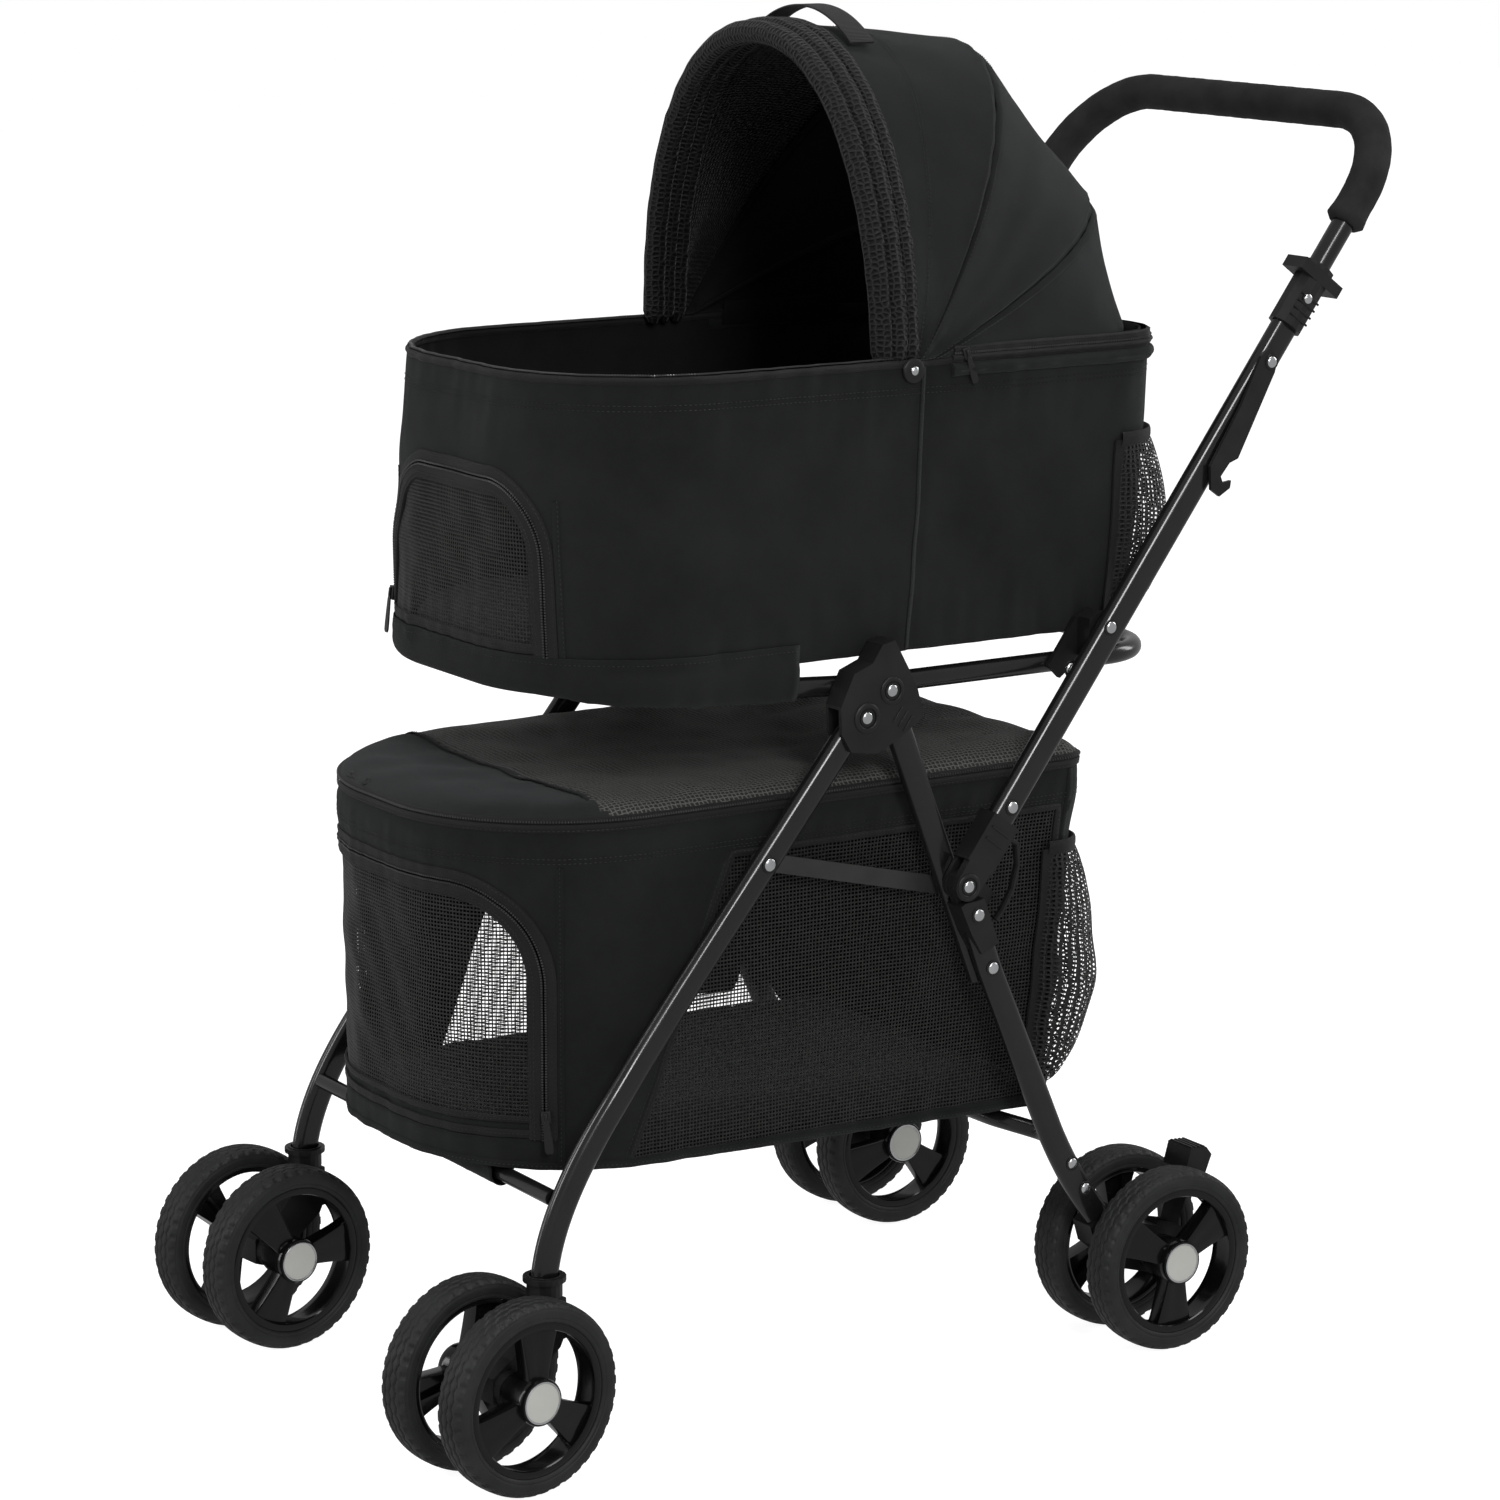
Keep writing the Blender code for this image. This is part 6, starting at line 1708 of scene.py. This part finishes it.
def gore(name, d0, d1, n, chord, body, mats, off0=-0.0006, sag=0.004, seed=101, edge=(1, 1), t0=0, t1=None, thick=0.0013):
    th = np.radians(np.linspace(d0, d1, n))
    s_ = np.linspace(0, 1, n)
    T_ = TT[t0:t1]
    TH, T2 = np.meshgrid(th, T_, indexing="ij")
    S2 = np.repeat(s_[:, None], len(T_), 1)
    arc_ = on_gore(T2, S2, d0, d1, chord, gore_O(T2, S2, d0, d1, off0, sag, seed, edge))
    uv = np.stack([T2 * 0.30, TH * CR], -1)
    o = make(name, arc_.reshape(-1, 3), gridF(n, len(T_)).tolist(), mats, None, uv=uv, sharp=75)
    up = sum(p.normal.z * p.area for p in o.data.polygons)
    if up < 0:
        o.data.flip_normals()
    if thick:
        m = o.modifiers.new("t", "SOLIDIFY")
        m.thickness, m.offset, m.use_rim = thick, -1.0, True
        if len(mats) > 1:
            m.material_offset = 1
        apply_mods(o)
    if body:
        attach(o, body)
    return o


def sq_front(o):
    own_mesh(o)
    return o


def sq_mid(o):
    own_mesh(o)
    return o


cf = gore("canopy_front_cloth", -1.0, 31.9, 34, 0.85, "canopy_front", [M_FAB, M_SPACER], edge=(0, 1), sag=0.002, seed=101)
sq_front(cf)
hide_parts("canopy_front")
cm = gore("canopy_middle_cloth", 32.1, 65.9, 24, 0.94, "canopy_middle", [M_FAB, M_FABIN], sag=0.003, seed=111)
sq_mid(cm)
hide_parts("canopy_middle")
cr = gore("canopy_rear_cloth", 66.1, 87.8, 20, 1.0, "ring", [M_FAB, M_FABIN], sag=0.002, seed=121)
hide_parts("canopy_rear")
li = gore("canopy_lining", -3.0, 30.5, 18, 0.15, "canopy_front", [M_SPACER], off0=-0.0085, edge=(0, 0), sag=0.004, seed=131, t0=6, t1=-6, thick=0.0010)
sq_front(li)


def arch_band(name, d, width, off, body, mat, thick=0.0012, t0=5, t1=-5):
    T_ = TT[t0:t1]
    rows_ = []
    for k, o_ in ((-0.5, off + 0.0012), (-0.42, off - 0.0006), (0, off - 0.0014), (0.42, off - 0.0006), (0.5, off + 0.0012)):
        rows_.append(arch(radians(d) + k * width / CR + 0 * T_, T_, o_))
    R_ = np.stack(rows_, 0)
    o = make(name, R_.reshape(-1, 3), gridF(5, len(T_)).tolist(), [mat], None, uv=np.stack([np.repeat((T_ * 0.3)[None], 5, 0), np.repeat((np.linspace(-0.5, 0.5, 5) * width)[:, None], len(T_), 1)], -1))
    solidify(o, thick, 0.0)
    if body:
        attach(o, body)
    return o


arch_band("canopy_bow_32", 32.2, 0.013, -0.0056, "canopy_middle", M_FABIN)
arch_band("canopy_bow_66", 66.0, 0.013, -0.0056, "ring", M_FABIN)


def arch_tube(name, d, off, r, body, mat, t0=2, t1=-2, seed=141, bump_=0.05, fwd=0.0):
    """Stuffed rib that follows the bow."""
    T_ = TT[t0:t1]
    C_ = arch(np.radians(d) + 0 * T_, T_, off) - np.array([0, 1.0, 0]) * (fwd * (0.80 + 0.20 * np.sin(T_)))[:, None]
    tg = np.gradient(C_, axis=0)
    tg /= np.linalg.norm(tg, axis=1)[:, None]
    n1 = np.array([0, cos(radians(d)), -sin(radians(d))])
    n1 = n1[None] - tg * (tg * n1).sum(1)[:, None]
    n1 /= np.linalg.norm(n1, axis=1)[:, None]
    n2 = np.cross(tg, n1)
    m = 18
    a = 2 * pi * np.arange(m) / m
    ends = np.clip(np.minimum(np.arange(len(T_)), np.arange(len(T_))[::-1]) / 5.0, 0.35, 1) ** 0.5
    rr_ = r * ends * (1 + bump_ * noise2(T_ * 0.26, 0 * T_, seed, 0.03))
    V = C_[:, None] + rr_[:, None, None] * (np.cos(a)[None, :, None] * n1[:, None] + np.sin(a)[None, :, None] * n2[:, None])
    F_ = gridF(len(T_), m, cv=True).tolist() + [list(range(m)), list(reversed(range((len(T_) - 1) * m, len(T_) * m)))]
    arc_l = np.r_[0, np.cumsum(np.linalg.norm(np.diff(C_, axis=0), axis=1))]
    uv = np.stack([np.repeat(arc_l[:, None], m, 1), np.repeat((a * r)[None], len(T_), 0)], -1)
    o = make(name, V.reshape(-1, 3), F_, [mat], None, uv=uv)
    fix_normals(o)
    if body:
        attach(o, body)
    return o


for i, (f_, o_, r_) in enumerate(((0.0045, -0.0068, 0.0092), (0.0180, -0.0062, 0.0094), (0.0315, -0.0085, 0.0092))):
    arch_tube("canopy_front_rib_%d" % (i + 1), 0.0, o_, r_, "canopy_front", M_SPACER, seed=141 + i, fwd=f_)

# stitched line behind the front edge, fading to the base; seam stitching beside each bow
def gore_stitches(soup, d0, d1, chord, sag, seed, edge, f, mat=0, t0=4, t1=-4, pitch=0.0036):
    """A stitch row on a gore, at a share f of its width."""
    T_ = TT[t0:t1]
    S_ = f + 0 * T_
    C_ = resample(on_gore(T_, S_, d0, d1, chord, gore_O(T_, S_, d0, d1, -0.0006, sag, seed, edge) + 0.0002), pitch)
    soup.add(lozenges(C_, np.gradient(C_, axis=0), C_ - np.array([0, CAN[0], CAN[1]]), pitch * 0.72, 0.0008, 0.0005), mat)


s = Soup()
for f_ in (0.350, 0.374, 0.962):
    gore_stitches(s, -1.0, 31.9, 0.85, 0.002, 101, (0, 1), f_)
sq_front(s.make("canopy_front_stitches", [M_THREAD], "canopy_front", 60, "carrier_fabric"))
s = Soup()
for f_ in (0.045, 0.958):
    gore_stitches(s, 32.1, 65.9, 0.94, 0.003, 111, (1, 1), f_)
sq_mid(s.make("canopy_middle_stitches", [M_THREAD], "canopy_middle", 60, "carrier_fabric"))
s = Soup()
gore_stitches(s, 66.1, 87.8, 1.0, 0.002, 121, (1, 1), 0.07)
s.make("canopy_rear_stitches", [M_THREAD], "ring", 60, "carrier_fabric")

# pivot discs
s = Soup()
for sg in (1,):
    s.add(turned([(0, 0.0001), (0, 0.0092), (0.0010, 0.0098), (0.0024, 0.0094), (0.0030, 0.0082), (0.0030, 0.0040), (0.0026, 0.0036), (0.0026, 0.0001)], (0.1762, 0.3400, 0.8060), (1, 0, 0), 28), 0)
    s.add(turned([(0.0024, 0.0036), (0.0036, 0.0034), (0.0044, 0.0022), (0.0047, 0.0001)], (0.1762, 0.3400, 0.8060), (1, 0, 0), 20), 1)
s.make("canopy_pivot_r", [M_PLAS, M_STEEL], "ring", 40, "black_plastic")
s.mirrored().make("canopy_pivot_l", [M_PLAS, M_STEEL], "ring", 40, "black_plastic")

# carrying strap over the canopy
def strap(name, y, x0, x1, rise, width, body):
    thc = (y - CAN[0]) / CR
    xs = np.linspace(x0, x1, 40)
    f = (xs - x0) / (x1 - x0)
    # height of the canopy at each foot
    def top(x):
        t = np.arccos(np.clip(np.sign(x) * (np.abs(x) / 0.1735) ** (2.15 / 2), -1, 1))
        return arch(thc + 0 * t, t, 0.0)[..., 2]
    z = top(xs) + 0.0014 + rise * np.clip(np.sin(pi * f), 0, 1) ** 0.8
    pts = np.stack([xs, y + 0 * xs, z + 0.0002], -1)
    foot0 = [pts[0] + [0.016, 0, float(top(np.array([x0 + 0.016]))[0] - pts[0][2] + 0.0004)]]
    sec = []
    tg = np.gradient(pts, axis=0)
    tg /= np.linalg.norm(tg, axis=1)[:, None]
    n_ = np.cross(tg, [0, 1.0, 0])
    n_ = np.where(n_[:, 2:3] < 0, -n_, n_)
    rows_ = []
    for a, b in ((-0.5, -0.0006), (-0.5, 0.0006), (-0.44, 0.0010), (0.44, 0.0010), (0.5, 0.0006), (0.5, -0.0006), (0.44, -0.0010), (-0.44, -0.0010)):
        rows_.append(pts + np.array([0, a * width, 0]) + n_ * b)
    R_ = np.stack(rows_, 1)
    F_ = gridF(len(xs), 8, cv=True).tolist() + [list(range(8)), list(reversed(range(8 * 39, 8 * 40)))]
    L_ = np.r_[0, np.cumsum(np.linalg.norm(np.diff(pts, axis=0), axis=1))]
    uv = np.stack([np.repeat(L_[:, None], 8, 1), R_[..., 1]], -1)
    s = Soup()
    s.add((R_.reshape(-1, 3), F_), 0, uv)
    for xf in (x0, x1):
        zf = float(top(np.array([xf]))[0])
        for q in (-1, 1):
            p0 = np.array([[xf + q * 0.003, y + v, zf + 0.0026] for v in np.linspace(-width * 0.4, width * 0.4, 6)])
            s.add(lozenges(p0, np.repeat([[0, 1.0, 0]], 6, 0), np.repeat([[0, 0, 1.0]], 6, 0), 0.0026, 0.0008, 0.0005), 1)
    o = fix_normals(s.make(name, [M_WEB, M_THREAD], None, 50, "carrier_fabric"))
    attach(o, body)
    return o


sq_front(strap("canopy_carry_strap", 0.362, -0.064, 0.072, 0.0070, 0.022, "canopy_front"))

# zip round the canopy's foot at the back
s = Soup()
for sg in (1, -1):
    ua = sg * (uCAN + 0.020)
    pth = np.array([(u, UT + 0.0052) for u in (stations([ua, LU], 0.004) if sg > 0 else stations([-LU, ua], 0.004))])
    add_strip(s, M_up, pth, [(-0.0052, -0.0012), (-0.0040, 0.0010), (0.0, 0.0014), (0.0040, 0.0016), (0.0052, 0.0002)], 0)
    add_teeth(s, M_up, pth, 0.0006, 0.0014, 1, 0.0021)
    add_stitches(s, M_up, pth, 0.0034, -0.0036, 0.0011, 2)
s.make("canopy_foot_zip", [M_TAPE, M_TOOTH_PAINTED_GLINT, M_THREAD], "ring", 50, "carrier_fabric")
# facing inside the zip
s = Soup()
for sg in (1, -1):
    us_ = stations([uCAN + 0.030, LU], 0.004) if sg > 0 else stations([-LU, -uCAN - 0.030], 0.004)
    R_ = np.stack([M_up(us_, np.full(len(us_), z_), np.full(len(us_), o_)) for z_, o_ in ((UT - 0.0090, -0.0044), (UT + 0.0010, -0.0050), (UT + 0.0100, -0.0070))], 1)
    s.add((R_.reshape(-1, 3), gridF(len(us_), 3).tolist()), 0, np.stack([np.repeat(us_[:, None], 3, 1), R_[..., 2]], -1))
fac = s.make("canopy_foot_facing", [M_FABIN], "ring", 60, "carrier_fabric")
solidify(fac, 0.0008, 0.0)
pc = M_up(np.array([uCAN + 0.030]), np.array([UT + 0.0040]), np.array([0.0016]))[0]
puller("canopy_zip_puller", pc, (0, 0.35, -1), (1, 0, 0), "ring", 0.9)


# ---------------------------------------------------------------- cushions
def cushion(name, prm, zb, inset, thick, node_, low_=False, seed=161):
    us_ = stations([-plan_len(prm), plan_len(prm)], 0.010)[:-1]
    lo_, hi_ = [], []
    rings_ = [(-inset - 0.010, 0.0016), (-inset - 0.003, 0.0045), (-inset, thick * 0.42), (-inset - 0.002, thick * 0.70), (-inset - 0.012, thick * 0.92), (-inset - 0.030, thick)]
    V = []
    for d_, dz in rings_:
        x, y = plan(us_, prm, d_)
        V.append(np.stack([x, y, zb(y) + dz], -1))
    m = len(us_)
    V = np.array(V)
    F_ = gridF(len(rings_), m, cv=True).tolist() + [list(range(m)), list(reversed(range((len(rings_) - 1) * m, len(rings_) * m)))]
    o = make(name, V.reshape(-1, 3), F_, [M_PAD], None)
    fix_normals(o)
    r = o.modifiers.new("r", "REMESH")
    r.mode, r.voxel_size = "VOXEL", 0.0060
    apply_mods(o)
    rest = np.array([v.co for v in o.data.vertices])
    c = o.modifiers.new("c", "CLOTH")
    c.settings.use_pressure = True
    c.settings.uniform_pressure_force = 4.0
    c.settings.effector_weights.gravity = 0.0
    c.settings.quality = 4
    c.point_cache.frame_start, c.point_cache.frame_end = 1, 20
    sc_ = bpy.context.scene
    for f in range(1, 21):
        sc_.frame_set(f)
    apply_mods(o)
    sc_.frame_set(1)
    now = np.array([v.co for v in o.data.vertices])
    mv = now - rest
    ln = np.linalg.norm(mv, axis=1)
    k = np.minimum(1.0, 0.0055 / np.maximum(ln, 1e-9))
    new = rest + mv * k[:, None]
    fl_ = zb(new[:, 1] - OY) + 0.0014
    new[:, 2] = np.maximum(new[:, 2], fl_)
    # soft puckers where the pad stands clear of its floor
    x_, y_ = new[:, 0] - OX, new[:, 1] - OY
    new[:, 2] += 0.0012 * noise2(x_, y_, seed, 0.07) * (new[:, 2] > fl_ + 0.008)
    o.data.vertices.foreach_set("co", new.ravel())
    o.data.materials.clear()
    o.data.materials.append(M_PAD)
    o.data.update()
    o.data.shade_smooth()
    v3 = np.array([v.co for v in o.data.vertices])
    a = o.data.attributes.get("wuv") or o.data.attributes.new("wuv", "FLOAT_VECTOR", "POINT")
    a.data.foreach_set("vector", v3.astype(np.float32).ravel())
    if low_:
        lower(o)
    else:
        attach(o, "ring")
    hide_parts(node_)
    return o


cushion("upper_cushion_soft", UP, lambda y: UB + 0.0034 + 0 * y, 0.0100, 0.0215, "upper_cushion")
cushion("lower_cushion_soft", LO, lambda y: lb(y) + 0.0034, 0.0100, 0.0200, "lower_cushion", True, 162)


# ================================================================ studio
sc = bpy.context.scene
az, el, roll = radians(57.12), radians(12.10), radians(0.15)
F_ = Vector((-sin(az) * cos(el), cos(az) * cos(el), -sin(el)))
R_ = Vector((cos(az), sin(az), 0))
U_ = R_.cross(F_)
R2 = R_ * cos(roll) + U_ * sin(roll)
U2 = U_ * cos(roll) - R_ * sin(roll)
cam_d = bpy.data.cameras.new("camera")
cam = bpy.data.objects.new("camera", cam_d)
COL.objects.link(cam)
cam_d.lens, cam_d.sensor_width, cam_d.sensor_fit = 109.44, 36.0, "HORIZONTAL"
cam_d.clip_start, cam_d.clip_end = 0.05, 60
cam.matrix_world = Matrix(((R2.x, U2.x, -F_.x, 3.0060), (R2.y, U2.y, -F_.y, -1.9843), (R2.z, U2.z, -F_.z, 1.2507), (0, 0, 0, 1)))
sc.camera = cam

w = bpy.data.worlds.new("studio")
sc.world = w
w.use_nodes = True
nt = w.node_tree
bg = nt.nodes["Background"]
bg.inputs["Color"].default_value = (1, 1, 1, 1)
lp_ = nt.nodes.new("ShaderNodeLightPath")
ml = nt.nodes.new("ShaderNodeMapRange")
ml.inputs["To Min"].default_value = 0.42
ml.inputs["To Max"].default_value = 1.0
nt.links.new(lp_.outputs["Is Camera Ray"], ml.inputs["Value"])
nt.links.new(ml.outputs[0], bg.inputs["Strength"])
sc.view_settings.view_transform = "Standard"

fm = bpy.data.materials.new("m_floor")
fm.use_nodes = True
fb = fm.node_tree.nodes["Principled BSDF"]
fb.inputs["Base Color"].default_value = (0.40, 0.40, 0.40, 1)
fb.inputs["Emission Color"].default_value = (1, 1, 1, 1)
fb.inputs["Emission Strength"].default_value = 0.92
fb.inputs["Roughness"].default_value = 0.9
me = bpy.data.meshes.new("floor")
me.from_pydata([(-12, -12, -0.0004), (12, -12, -0.0004), (12, 12, -0.0004), (-12, 12, -0.0004)], [], [[0, 1, 2, 3]])
me.materials.append(fm)
floor = bpy.data.objects.new("floor", me)
COL.objects.link(floor)
floor.visible_glossy = False        # the studio reflects dark, as black flags would make it


def area(name, loc, target, size, power, rgb=(1, 1, 1)):
    ld = bpy.data.lights.new(name, "AREA")
    ld.shape, ld.size, ld.size_y, ld.energy, ld.color = "RECTANGLE", size[0], size[1], power, rgb
    lo_ = bpy.data.objects.new(name, ld)
    COL.objects.link(lo_)
    lo_.location = loc
    lo_.rotation_euler = (Vector(target) - Vector(loc)).to_track_quat("-Z", "Y").to_euler()
    lo_.visible_camera = False

    return lo_


area("key", (-0.2, -3.2, 2.2), (0, 0, 0.5), (0.7, 1.6), 30)
area("side", (3.4, -0.9, 2.4), (0, 0, 0.5), (0.8, 1.6), 84)
area("top", (0.3, 0.2, 3.4), (0, 0, 0.6), (1.4, 1.4), 42)
area("strip_l", (-1.8, -2.6, 1.0), (0, 0, 0.6), (0.35, 2.2), 14)
area("back", (0.6, 3.0, 1.8), (0, 0, 0.7), (0.8, 1.6), 24)
